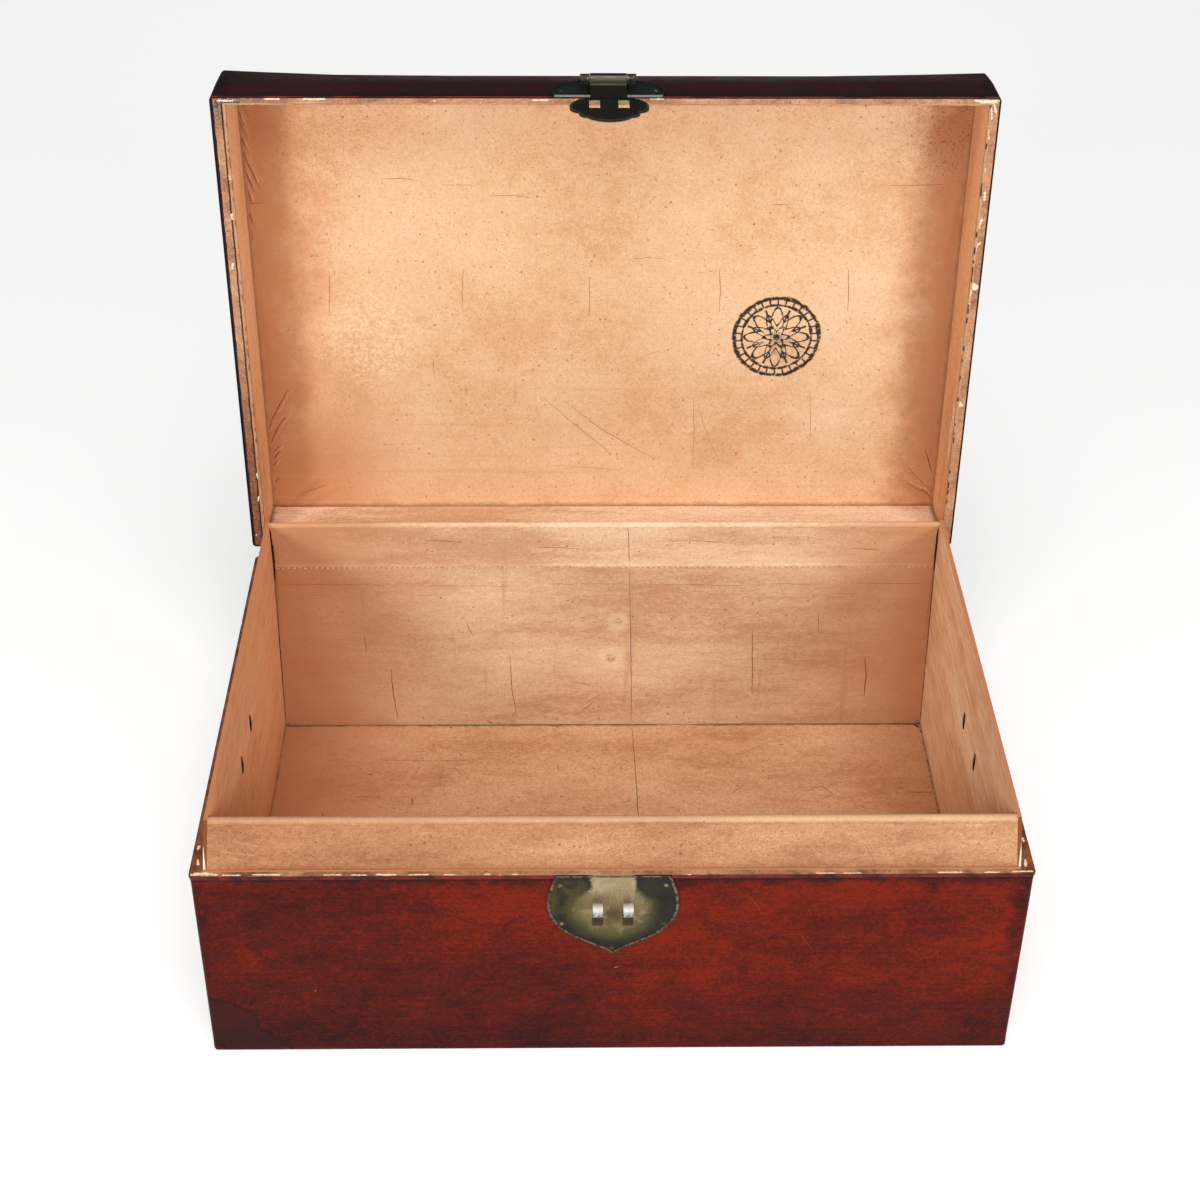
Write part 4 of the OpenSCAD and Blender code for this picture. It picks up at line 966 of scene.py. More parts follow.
def fitting_material(name, tones, prongs=False, mottle=80.0, highlight_above=None):
    """Small fittings; prongs are black inside the wall, and tops can carry a painted highlight."""
    b = Finish(name, Metallic=0.7, Specular_IOR_Level=0.3)
    at = base_place(b)
    light, mid, dark = tones
    worn = b.step(b.noise(at, 240.0, 4.0, 0.6), 0.45, 0.7, 0.1, 0.7)
    out = b.start(METAL, Place=at, Worn=worn, Mottle=mottle, Light=light, Mid=mid, Dark=dark)
    if prongs:
        x, y, _ = b.parts(b.vector("ABSOLUTE", at))
        inner = b.times(b.step(x, 0.3685, 0.366), b.step(y, 0.2455, 0.243))
        b.coat(inner, tone(46, 34, 26))
    # Painted highlight: above the given height a fitting is painted near white, as if lit from
    # above.
    if highlight_above:
        _, _, z = b.parts(at)
        b.coat(b.step(z, highlight_above, highlight_above + 0.006, 0.0, 0.75), tone(222, 217, 210))
    rough = b.plus(out["Roughness"], 0.25 if highlight_above else 0.0)
    return b.done(rough, out["Height"], 0.0002, 0.4)


# Mesh making

def swing(points, angle):
    """Turns points, in millimetres, about the hinge axis; a positive angle shuts the lid."""
    points = np.array(points, float)
    c, s = math.cos(angle), math.sin(angle)
    y, z = points[:, 1] - HINGE_Y, points[:, 2] - RIM_Z
    turned = points.copy()
    turned[:, 1] = HINGE_Y + y * c - z * s
    turned[:, 2] = RIM_Z + y * s + z * c
    return turned


def swing_open(points):
    """From the closed lid to the open one."""
    return swing(points, -OPEN_ANGLE)


def add_piece(name, points, faces, body, material, slot, stands_for=(), on_lid=False,
              smooth=True, marks=None):
    """Makes a mesh piece from points in millimetres, hangs it on its body and hides the parts it
    stands for.
    """
    points = swing_open(points) if on_lid else np.array(points, float)
    mesh = bpy.data.meshes.new(name)
    mesh.from_pydata((points * MM).tolist(), [], faces)
    for label, values in (marks or {}).items():
        layer = mesh.attributes.new(label, "FLOAT", "POINT")
        layer.data.foreach_set("value", np.array(values, np.float32))
    shaped = bmesh.new()
    shaped.from_mesh(mesh)
    bmesh.ops.remove_doubles(shaped, verts=shaped.verts, dist=WELD)
    bmesh.ops.recalc_face_normals(shaped, faces=shaped.faces)
    shaped.to_mesh(mesh)
    shaped.free()
    for face in mesh.polygons:
        face.use_smooth = smooth
    mesh.materials.append(material)
    piece = link_object(name, mesh)
    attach(piece, body)
    if stands_for:
        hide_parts(*stands_for)


def ring(half_x, half_y, radius, stations_x, stations_y, steps=6):
    """Points round a rectangle with round corners, anticlockwise from the front left.
    Stations are shares, -1 to 1, of the straight part of each side."""
    rx, ry = half_x - radius, half_y - radius
    points = []

    def corner(cx, cy, start):
        for i in range(steps + 1):
            a = math.radians(start + 90 * i / steps)
            points.append((cx + radius * math.cos(a), cy + radius * math.sin(a)))

    corner(-rx, -ry, 180)
    points.extend((s * rx, -half_y) for s in stations_x)
    corner(rx, -ry, 270)
    points.extend((half_x, s * ry) for s in stations_y)
    corner(rx, ry, 0)
    points.extend((-s * rx, half_y) for s in stations_x)
    corner(-rx, ry, 90)
    points.extend((-half_x, -s * ry) for s in stations_y)
    return points


def even(step_mm, length_mm):
    """Stations about a step apart along a side, without its ends."""
    n = max(2, round(length_mm / step_mm))
    return [-1 + 2 * i / n for i in range(1, n)]


def join_rings(rings):
    """All the rings' points, and the faces from each ring to the next and round to the first."""
    n, faces = len(rings[0]), []
    for k in range(len(rings)):
        a, c = k * n, (k + 1) % len(rings) * n
        faces.extend((a + i, a + (i + 1) % n, c + (i + 1) % n, c + i) for i in range(n))
    return [p for line in rings for p in line], faces


def waves(x, y, z, size, seed=0.0):
    """Slow smooth unevenness, -1 to 1, over a distance of about size millimetres."""
    return noise.noise(Vector((x / size + seed, y / size, z / size)))


def clamp(t):
    return min(max(t, 0.0), 1.0)


def ease(t):
    """From 0 to 1, slow at both ends."""
    t = clamp(t)
    return t * t * (3 - 2 * t)


def round_corner(angles):
    """Insets round the leather's edge and how far it still is to the flat, in millimetres."""
    turns = [math.radians(a) for a in angles]
    return [(CORNER_R * (1 - math.cos(a)), CORNER_R * (1 - math.sin(a))) for a in turns]


def make_base_leather(materials):
    """One hide round the base, rounded at its corners and turned in under the bottom."""
    xs, ys = even(8, 2 * CASE_X), even(8, 2 * CASE_Y)
    rings = []
    heights = [221.0] + [217.0 - 6.0 * i for i in range(36)] + [5.5]
    outer = [(0.0, z) for z in heights]
    outer += [(inset, 0.3 + rest) for inset, rest in round_corner(range(15, 91, 15))]
    outer += [(12.0, 0.3), (20.0, 0.35), (27.0, 0.5), (27.5, 1.2), (12.0, 1.4), (THICK, 1.5)]
    outer += [(THICK, z) for z in (60.0, 140.0, 221.0)]
    for inset, z in outer:
        radius = max(CORNER_R - inset, 0.3)
        line = []
        for x, y in ring(CASE_X - inset, CASE_Y - inset, radius, xs, ys):
            sink = 0.0
            if inset < 0.5 and 8 < z < 215:
                plate = abs(x) < 70 and y < -240
                sink = 0.0 if plate else 0.22 * (1 + waves(x, y, z, 55, 3.1))
            k = 1 - sink / math.hypot(x, y)
            line.append((x * k, y * k, z))
        rings.append(line)
    add_piece("base_leather", *join_rings(rings), "base", materials["base_lacquer"],
              "lacquered_leather", ["base_leather_cover"])


def grid_faces(nx, ny, first=0, flip=False):
    faces = []
    for j in range(ny - 1):
        for i in range(nx - 1):
            a = first + j * nx + i
            face = (a, a + 1, a + nx + 1, a + nx)
            faces.append(face[::-1] if flip else face)
    return faces


def sheet_faces(nx, ny):
    """Faces of a closed slab: an upper grid, a lower grid and the four sides between."""
    n = nx * ny
    faces = grid_faces(nx, ny) + grid_faces(nx, ny, n, True)
    rim = list(range(nx)) + [j * nx + nx - 1 for j in range(1, ny)]
    rim += [(ny - 1) * nx + i for i in range(nx - 2, -1, -1)]
    rim += [j * nx for j in range(ny - 2, 0, -1)]
    faces += [(rim[k], rim[(k + 1) % len(rim)], rim[(k + 1) % len(rim)] + n, rim[k] + n)
              for k in range(len(rim))]
    return faces


def make_bottom_paper(materials):
    """Brown paper pasted under the bottom, over the turned-in leather, slightly cockled."""
    nx, ny = 90, 60
    upper, lower = [], []
    for j in range(ny):
        for i in range(nx):
            x = -354 + 708 * i / (nx - 1)
            y = -231 + 462 * j / (ny - 1)
            lower.append((x, y, 0.12 + 0.12 * waves(x, y, 0, 30, 7.7)))
            upper.append((x, y, 0.45 if max(abs(x) - 343, abs(y) - 220) > 0 else 1.5))
    add_piece("base_bottom_paper", upper + lower, sheet_faces(nx, ny), "base",
              materials["bottom_paper"], "dark_leather", ["base_bottom_leather"])


def rim_chip(x, y, seed):
    """How far the rim is chipped at a place, from 0 to 1."""
    rare = max(0.0, waves(x, y, 0, 15, seed + 9) - 0.47) * 3.4
    ragged = waves(x, y, 0, 2.6, seed) * 0.7
    return clamp(rare + ragged * (rare > 0))


def make_base_rim(materials):
    """Binding over the base's rim: a flat raw ledge and a thin chipped bead outside it."""
    notch = PLATE_NOTCH / (CASE_X - CORNER_R)
    hinge = [(HINGE_X + s * (LEAF_W / 2 + 1)) / (CASE_X - CORNER_R) for s in (-1, 1)]
    extra = [s * v for v in [notch, *hinge] for s in (-1, 1)]
    xs = sorted(even(2.5, 2 * CASE_X) + [v + d for v in extra for d in (-2e-4, 2e-4)])
    ys = even(2.5, 2 * CASE_Y)
    section = [(0.15, 218.0), (-0.75, 218.2), (-1.0, 218.9), (-1.0, 220.9), (-0.75, 221.7),
               (-0.1, 222.0), (1.6, 221.9), (4.0, 221.75), (8.0, 221.8), (None, 222.0),
               (None, 221.0), (0.15, 221.0)]
    rings, chips = [], []
    for inset, z in section:
        if inset is None:
            half_x, half_y, radius = LIP_X, LIP_Y, 0.3
        else:
            half_x, half_y = CASE_X - inset, CASE_Y - min(inset, 7.6)
            radius = max(CORNER_R - inset, 0.3)
        line = []
        for x, y in ring(half_x, half_y, radius, xs, ys):
            front = y < -BOARD_Y and abs(x) < PLATE_NOTCH
            back = y > BOARD_Y and abs(abs(x) - HINGE_X) < LEAF_W / 2 + 1
            chip = rim_chip(x, y, 1.7)
            drop, pull = 0.0, 0.0
            if inset is not None and inset < 1 and z > 220:
                drop, pull = 0.55 * chip, 0.5 * chip * (inset < 0)
            uneven = 0.16 * (waves(x, y, z, 9, 5.0) - 1) if inset and 1 < inset < 8.5 else 0
            px, py, pz = x, y, z - drop + uneven
            if front or back:
                edge = CASE_Y - (0.0 if inset is None else max(inset, 0.0))
                py = math.copysign(min(abs(y), edge), y)
                pz = max(z, 221.0)
            elif pull:
                px, py = x * (1 - pull / CASE_X), y * (1 - pull / CASE_Y)
            line.append((px, py, pz))
            bare = inset is not None and -0.2 < inset < 4.1 and y < -BOARD_Y
            chips.append(chip if bare else 0.0)
        rings.append(line)
    add_piece("base_rim_bead", *join_rings(rings), "base", materials["base_rim"],
              "dark_leather", ["base_rim_binding"], marks={"chip": chips})


# How far the lid's front has sagged inwards at its top: x and the depth, in millimetres
LEAN = [(-374, 2.4), (-330, 4.6), (-262, 7.4), (-150, 8.3), (210, 8.3), (300, 6.6), (350, 5.2),
        (371, 4.6)]
LEAN_FROM_Z = 262.0


def lid_lean(x, y, z):
    """How far a point of the lid has moved inwards with its front."""
    up = clamp((z - LEAN_FROM_Z) / (LID_TOP_Z - LEAN_FROM_Z))
    depth = np.interp(x, [at for at, _ in LEAN], [sunk for _, sunk in LEAN])
    return depth * up ** 1.25 * ease((-y - 150.0) / 88.0)


def lid_swell(x):
    """The lid's left side has spread outwards."""
    return -4.0 * ease((-x - 250.0) / 110.0)


def make_lid_leather(materials):
    """Leather over the lid: four sides, a rounded top edge and the top itself."""
    xs, ys = even(8, 2 * CASE_X), even(8, 2 * CASE_Y)
    profile = [(0.0, LID_Z + h) for h in (0, 3, 9, 17, 26, 36, 46, 56, 66, 74, 80)]
    profile += [(inset, LID_TOP_Z - rest) for inset, rest in round_corner(range(18, 91, 18))]
    profile += [(inset, LID_TOP_Z) for inset in (9, 18, 32, 50, 75, 105, 140, 175, 205, 230, 246)]
    count = len(profile)
    profile += [(246, LID_TOP_Z - THICK), (THICK, LID_TOP_Z - THICK), (THICK, 284),
                (THICK, LEAN_FROM_Z), (THICK, LID_Z)]
    rings = []
    for k, (inset, z) in enumerate(profile):
        line = []
        for x, y in ring(CASE_X - inset, CASE_Y - inset, max(CORNER_R - inset, 0.3), xs, ys):
            dz = -0.25 * (1 + waves(x, y, z, 70, 2.2)) if 9 <= inset and k < count else 0.0
            line.append((x + lid_swell(x), y + lid_lean(x, y, z), z + dz))
        rings.append(line)
    points, faces = join_rings(rings)
    n = len(rings[0])
    faces = [f for f in faces if not (f[0] // n == count - 1 and f[2] // n == count)]
    faces.append(tuple(range((count - 1) * n, count * n)))
    faces.append(tuple(range(count * n, (count + 1) * n))[::-1])
    add_piece("lid_leather", points, faces, "lid", materials["lid_lacquer"],
              "dark_leather", ["lid_leather_cover"], on_lid=True)


def make_lid_rim(materials):
    """Raw edge of leather and board round the lid's rim, with chips of ground."""
    xs, ys = even(2.5, 2 * BOARD_X), even(2.5, 2 * BOARD_Y)
    section = [(0.0, 0.9), (0.0, 0.25), (0.5, 0.0), (2.6, 0.06), (4.3, 0.02), (6.0, -0.1),
               (None, -0.1), (None, 1.0)]
    rings, chips = [], []
    for inset, up in section:
        if inset is None:
            half_x, half_y = (LID_BAY_X, LID_BAY_Y) if up > 0 else (LID_ROOM_X, LID_ROOM_Y)
        else:
            half_x, half_y = BOARD_X - inset * 1.3, BOARD_Y - inset
        line = []
        for x, y in ring(half_x, half_y, 0.4, xs, ys):
            chip = rim_chip(x, y, 6.3)
            shape = waves(x, y, 0, 6, 4.4)
            z = LID_Z + up + (0.12 + 0.12 * shape + 0.3 * chip) * (up < 0.5)
            line.append((x + lid_swell(x) * (abs(x) > LID_BAY_X - 0.5), y, z))
            chips.append(chip)
        rings.append(line)
    add_piece("lid_raw_rim", *join_rings(rings), "lid", materials["lid_rim"], "tan_leather",
              ["lid_rim_binding"], on_lid=True, marks={"chip": chips})


# Folds in the panel's lining: both ends in x and y, half width and rise, in millimetres
FOLDS = [(-359, -212, -353, -190, 1.9, 2.8), (-358, -200, -352, -180, 1.8, 2.6),
         (-359, -184, -351, -162, 1.9, 2.8), (-358, -170, -345, -130, 2.2, 3.0),
         (-358, -152, -350, -124, 2.0, 2.4), (-357, -129, -353, -110, 1.8, 1.8),
         (-357, -104, -353, -86, 1.8, 1.6), (-358, -230, -349, -205, 2.0, 1.8),
         (-340, -238, -318, -214, 4, 1.2), (-358, 150, -330, 97, 2.8, 2.6),
         (-357, 167, -332, 121, 2.6, 2.6), (-355, 177, -342, 160, 2.2, 2.4),
         (-355, 186, -345, 170, 2.2, 2.4), (-356, 194, -347, 176, 2.2, 2.4),
         (-357, 216, -348, 201, 2.2, 2.2), (-344, 236, -308, 204, 4, 2.0),
         (-326, 238, -292, 216, 4, 1.4), (356, 218, 325, 183, 3.4, 3.4),
         (354, 224, 326, 207, 2.8, 2.6), (358, 229, 344, 213, 2.8, 2.4),
         (357, 200, 332, 128, 4, 1.8), (340, 237, 286, 218, 4, 1.4),
         (357, -238, 330, -196, 5, 1.4), (357, -150, 344, -40, 5, 0.9),
         (-357, -40, -347, 60, 5, 0.9)]


def fold_rise(x, y):
    """Height of the folds at grid points x and y, as arrays."""
    rise = np.zeros_like(x)
    for x0, y0, x1, y1, wide, high in FOLDS:
        dx, dy = x1 - x0, y1 - y0
        t = np.clip(((x - x0) * dx + (y - y0) * dy) / (dx * dx + dy * dy), 0, 1)
        gap = np.hypot(x - x0 - t * dx, y - y0 - t * dy)
        rise = np.maximum(rise, high * (1 - 0.55 * t) * np.exp(-(gap / wide) ** 2))
    return rise


def make_lid_panel(materials):
    """The lid's large lining, pasted on the top board: it rolls into the walls and puckers."""
    nx, ny = 281, 171
    # The columns crowd towards both ends, where the puckers are
    gx, gy = np.meshgrid(np.sin(np.linspace(-1.35, 1.35, nx)) / math.sin(1.35) * LID_ROOM_X,
                         np.linspace(-LID_ROOM_Y, LID_ROOM_Y, ny))
    side = np.minimum(LID_ROOM_X - np.abs(gx), LID_ROOM_Y - np.abs(gy))
    roll = 5.0
    inside = np.clip(roll - side, 0, roll)
    curl = roll - np.sqrt(np.maximum(roll ** 2 - inside ** 2, 0))
    fade = np.clip(side / 12, 0, 1)
    slow = np.array([[waves(x, y, 0, 42, 8.8) for x, y in zip(rx, ry)]
                     for rx, ry in zip(gx, gy)])
    rise = fold_rise(gx, gy) + 0.25 * (1 + slow) * fade
    lean = np.vectorize(lid_lean)(gx, gy, 300.0)
    face = LINING_Z - curl - rise * np.clip(side / 3, 0, 1)
    lower = np.stack([gx, gy + lean, face], -1).reshape(-1, 3)
    upper = np.stack([gx, gy + lean, np.full_like(gx, TOP_BOARD_Z)], -1).reshape(-1, 3)
    add_piece("lid_panel_lining", np.vstack([upper, lower]), sheet_faces(nx, ny), "lid",
              materials["panel"], "tan_leather", ["lid_lining_panel"], on_lid=True)


def lean_node(name, piece_name, material, slot):
    """Rebuilds a lid node so that it follows the lean of the lid's front."""
    shaped = bmesh.new()
    shaped.from_mesh(nodes[name].data)
    bmesh.ops.remove_doubles(shaped, verts=shaped.verts, dist=WELD)
    shut = swing([v.co / MM for v in shaped.verts], OPEN_ANGLE)
    for v, place in zip(shaped.verts, shut):
        v.co = Vector(place)
    cuts = [((x, 0, 0), (1, 0, 0)) for x in range(-350, 351, 35)]
    cuts += [((0, 0, z), (0, 0, 1)) for z in (262.5, 271, 280, 289, 297)]
    cuts += [((0, y, 0), (0, 1, 0)) for y in (-156, -172, -188, -204, -220, -236)]
    for place, way in cuts:
        everything = shaped.verts[:] + shaped.edges[:] + shaped.faces[:]
        bmesh.ops.bisect_plane(shaped, geom=everything, dist=1e-4, plane_co=place, plane_no=way)
    points = [(v.co.x, v.co.y + lid_lean(*v.co), v.co.z) for v in shaped.verts]
    shaped.verts.index_update()
    faces = [[v.index for v in face.verts] for face in shaped.faces]
    shaped.free()
    add_piece(piece_name, points, faces, "lid", material, slot, [name], on_lid=True,
              smooth=False)


LEANING = [("lid_top_board", "lid_top_planks", "camphor", "camphor_wood"),
           ("lid_front_board", "lid_front_plank", "camphor", "camphor_wood"),
           ("lid_left_board", "lid_left_plank", "camphor", "camphor_wood"),
           ("lid_right_board", "lid_right_plank", "camphor", "camphor_wood"),
           ("lid_lining_front", "lid_front_lining", "lid_wall", "tan_leather"),
           ("lid_lining_left", "lid_left_lining", "lid_wall", "tan_leather"),
           ("lid_lining_right", "lid_right_lining", "lid_wall", "tan_leather")]


# Marks laid on the surfaces

class Surface:
    """Faces of some pieces, to lay marks on by two coordinates."""

    def __init__(self, names, start, way, on_lid=False):
        points, faces = [], []
        for name in names:
            mesh = bpy.data.objects[name].data
            first = len(points)
            points.extend(v.co.copy() for v in mesh.vertices)
            faces.extend([first + i for i in face.vertices] for face in mesh.polygons)
        self.tree = BVHTree.FromPolygons(points, faces)
        self.start, self.way, self.on_lid = start, Vector(way), on_lid

    def find(self, u, v):
        """Place in millimetres and outward direction of the surface at u and v."""
        begin = Vector(self.start(u, v))
        aim = begin + self.way
        if self.on_lid:
            begin, aim = (Vector(p) for p in swing_open([begin, aim]))
        place, normal, _, _ = self.tree.ray_cast(begin * MM, aim - begin)
        if normal.dot(aim - begin) > 0:
            normal = -normal
        return place / MM, normal


def sliver(path, normals, width, lift):
    """A thin closed ridge along a path, pointed at both ends."""
    points, faces = [path[0]], []
    for i in range(1, len(path) - 1):
        along = (path[i + 1] - path[i - 1]).normalized()
        side = along.cross(normals[i]).normalized()
        half = width / 2 * (0.55 + 0.45 * math.sin(math.pi * i / (len(path) - 1)))
        points += [path[i] + side * half, path[i] + normals[i] * lift, path[i] - side * half,
                   path[i] - normals[i] * 0.25]
    points.append(path[-1])
    last = len(points) - 1
    for k in range(4):
        faces.append((0, 1 + k, 1 + (k + 1) % 4))
        faces.append((last, last - 4 + (k + 1) % 4, last - 4 + k))
        for i in range(len(path) - 3):
            a = 1 + 4 * i
            faces.append((a + k, a + 4 + k, a + 4 + (k + 1) % 4, a + (k + 1) % 4))
    return points, faces


def lay_marks(name, body, material, slot, surfaces, marks, seed, lift):
    """Lays scratches: each mark is a surface, a width and its points, in millimetres."""
    chance = random.Random(seed)
    points, faces = [], []
    for key, width, stops in marks:
        surface = surfaces[key]
        line = [Vector((*stop, 0)) for stop in stops]
        if len(line) == 1:
            line = [line[0] - Vector((width * 0.7, 0, 0)), line[0],
                    line[0] + Vector((width * 0.6, width * 0.2, 0))]
        fine = [line[0]]
        for a, b in zip(line, line[1:]):
            n = max(1, round((b - a).length / 4.0))
            across = Vector((-(b - a).y, (b - a).x, 0)).normalized()
            fine += [a.lerp(b, (i + 1) / n) + across * chance.uniform(-0.3, 0.3) * (n > 1)
                     for i in range(n)]
        if len(fine) < 4:
            fine = [fine[0], fine[0].lerp(fine[-1], 0.35), fine[0].lerp(fine[-1], 0.7), fine[-1]]
        found = [surface.find(p.x, p.y) for p in fine]
        new_points, new_faces = sliver([p for p, _ in found], [n for _, n in found], width, lift)
        faces += [tuple(len(points) + i for i in face) for face in new_faces]
        points += new_points
    add_piece(name, [tuple(p) for p in points], faces, body, material, slot)


# Scratches, cuts and creases as old leather has them: surface, width and points
BASE_SCRATCHES = [
    ("wall", 0.7, [(-190, 254), (-169, 253.4), (-148, 250.6)]),
    ("wall", 0.6, [(-73, 245), (-47, 244), (-24, 242)]),
    ("wall", 0.6, [(67, 253), (97, 252.8), (127, 250.6)]),
    ("wall", 0.6, [(258, 242.7), (290, 240)]),
    ("wall", 0.8, [(-232.7, 88), (-232, 58), (-228.4, 17)]),
    ("wall", 0.7, [(-102.5, 105), (-101, 58), (-96, 19)]),
    ("wall", 0.8, [(160, 139), (162, 97), (163.8, 50)]),
    ("wall", 0.9, [(284.8, 103), (288, 75), (288, 46)]),
    ("wall", 1.2, [(-122, 12), (-130, 16)]),
    ("wall", 0.5, [(-150, 150), (-141, 128)]), ("wall", 0.5, [(-260, 132), (-258, 108)]),
    ("wall", 0.5, [(230, 160), (233, 131)]), ("wall", 0.5, [(-40, 70), (-12, 64)]),
    ("wall", 0.5, [(-10, 42), (-32, 22)]), ("wall", 0.5, [(-20, 40), (-2, 52)]),
    ("floor", 1.0, [(-257, 138), (-249, 138)]), ("floor", 1.2, [(-205.8, 100), (-205, 87)]),
    ("floor", 1.0, [(-300, 77), (-294, 60)]), ("floor", 0.9, [(-50.5, 154), (-50.5, 143)]),
    ("floor", 0.8, [(18, 89), (29, 96)]), ("floor", 0.5, [(-248, 162), (-195, 160), (-143, 161)]),
    ("floor", 0.9, [(321, 105.5), (350, 105)]), ("floor", 0.7, [(-266, 101), (-240, 100)]),
    ("floor", 0.7, [(191, 186), (199, 186)]), ("floor", 0.6, [(133, 103), (151, 119)]),
    ("floor", 0.6, [(217, 109), (233, 116), (244, 102), (229, 94)]),
    ("floor", 0.5, [(-120, 20), (-60, 26)]), ("floor", 0.5, [(70, 10), (150, 2)]),
    ("left", 1.4, [(-33, 131), (-31, 136)]), ("left", 0.9, [(-4.6, 201.3), (-17.6, 193.2)]),
    ("right", 1.2, [(-27, 133), (-25, 137)]),
    ("lip", 1.1, [(-24, 266.6), (-22, 268)]), ("lip", 1.3, [(78, 272), (78.5, 270)]),
    ("front", 0.5, [(168, 150), (180, 128)]), ("front", 0.5, [(120, 196), (132, 176)]),
]
# Dark dents in the lacquer, and gaps and grime in the corners
DARK_MARKS = [
    ("front", 1.2, [(308, 207)]), ("front", 1.8, [(318, 207)]), ("front", 2.0, [(334, 180)]),
    ("front", 2.8, [(251, 101)]), ("front", 1.2, [(224, 143), (228, 152)]),
    ("front", 1.1, [(116, 114)]), ("front", 1.1, [(121, 113)]), ("front", 0.9, [(127, 78)]),
    ("front", 1.2, [(-211, 211)]), ("front", 1.0, [(-6, 103), (0, 106), (7, 108)]),
    ("front", 0.8, [(60, 90), (66, 88)]), ("front", 0.9, [(-112, 132), (-96, 127)]),
    ("front", 0.9, [(340, 60), (341, 52)]), ("front", 0.7, [(170, 92), (182, 78)]),
    ("wall", 2.6, [(-350.4, 273), (-349.6, 262), (-349.4, 246), (-349.8, 222), (-350.4, 199)]),
    ("wall", 0.9, [(-350.5, 197), (-350.8, 150), (-351.7, 99), (-352.6, 14)]),
    ("wall", 2.0, [(348.2, 272), (349.0, 247), (350.2, 210)]),
    ("wall", 1.0, [(350.4, 206), (351.2, 150), (352.2, 97), (353, 14)]),
    ("floor", 2.6, [(345, 221), (349, 218.5), (352.5, 214)]),
    ("floor", 1.4, [(351, 212), (353, 204)]),
]
BASE_PALE_MARKS = [
    ("lip", 0.7, [(-346, 243), (-333, 240), (-310, 236.6)]),
    ("lip", 0.5, [(-340, 236), (-318, 230)]), ("lip", 0.5, [(-330, 252), (-306, 246)]),
    ("lip", 1.6, [(-24, 262), (-22, 250), (-18, 240)]),
    ("wall", 1.4, [(11, 148), (15, 150), (19, 147)]), ("wall", 1.2, [(7, 104), (9, 98), (6, 95)]),
    ("right", 1.0, [(85, 252), (70, 247), (52, 241)]),
    ("right", 0.9, [(78, 164), (38, 164), (12, 154)]),
    ("right", 0.8, [(60, 120), (20, 116), (-30, 118)]),
    ("right", 0.7, [(150, 200), (110, 206), (60, 203)]),
    ("left", 0.9, [(-60, 252), (-86, 247), (-108, 243)]), ("left", 0.8, [(-20, 160), (-70, 165)]),
    ("left", 0.7, [(120, 210), (70, 214), (30, 211)]),
    ("front", 0.6, [(1, 107.6), (6, 109.4)]),
    ("front", 0.9, [(-270, 80)]),
]
PANEL_SCRATCHES = [
    (0.6, [(-224, -136), (-205, -137), (-186, -134)]),
    (0.6, [(-118, -118), (-96, -119), (-72, -116)]),
    (0.4, [(-166, -130), (-126, -130)]), (0.6, [(164.5, -109), (187, -110)]),
    (0.6, [(282, -130), (309, -129.6), (337, -131)]),
    (0.6, [(-282, -36), (-283, -10), (-285, 14)]),
    (0.6, [(-145, -40), (-147, -16), (-147, 4)]), (0.6, [(-17, -32), (-16, -5), (-17, 16)]),
    (0.7, [(116, -40), (118, -16), (118, 10)]), (0.7, [(248, -40), (250, -16), (251, 10)]),
    (0.5, [(24, -50), (43, -52), (62, -50)]), (0.6, [(-45, 110), (-5, 145), (58, 185)]),
    (0.5, [(-68, 105), (-31, 141), (6, 174)]), (0.4, [(-94.6, 93), (-95, 117)]),
    (0.5, [(94, 105), (96, 147), (96, 196)]), (0.4, [(98, 111), (108, 147), (122, 181)]),
    (0.5, [(217, 99), (220, 129), (221, 160)]), (0.7, [(-333, 226), (-313, 219), (-297, 213)]),
    (0.9, [(250, 17), (251.4, 24)]), (1.0, [(333, 199), (334.5, 203)]),
    (0.4, [(-60, 190), (20, 196)]), (0.4, [(-180, 60), (-178, 92)]), (0.4, [(40, 60), (60, 52)]),
    (0.9, [(-357, -111), (-349, -110.5), (-341, -111)]),
]
# Shadowed creases beside the panel's folds
PANEL_CREASES = [
    [(-359, -208), (-357.2, -199), (-354.6, -192)], [(-359, -197), (-357, -189), (-354.6, -183)],
    [(-359, -181), (-356.4, -173), (-353, -164)],
    [(-359, -167), (-356, -155), (-351.6, -145), (-347, -131)],
    [(-358.6, -149), (-355.6, -137), (-351.4, -126)],
    [(-357, -126), (-355.4, -118), (-354.8, -111)],
    [(-357, -101), (-356.2, -95), (-354.8, -88)], [(-357.6, -84), (-356.4, -70)],
    [(-358, 146), (-352, 131), (-336, 102), (-328, 93)],
    [(-357, 163), (-346.6, 141), (-332, 121.6)],
    [(-354.6, 173), (-347.4, 165), (-343.6, 160.6)],
    [(-354.4, 181.6), (-351.6, 176), (-346.8, 170.4)],
    [(-356, 190), (-351.2, 182.4), (-348.4, 177.4)], [(-357, 212), (-353, 207.4), (-349.4, 202)],
    [(357, 221), (343, 208), (327, 189.6)], [(354.5, 225), (341, 219), (328, 211.6)],
    [(358, 230.6), (351, 223), (345.6, 218)], [(357, 203), (345, 168)],
]


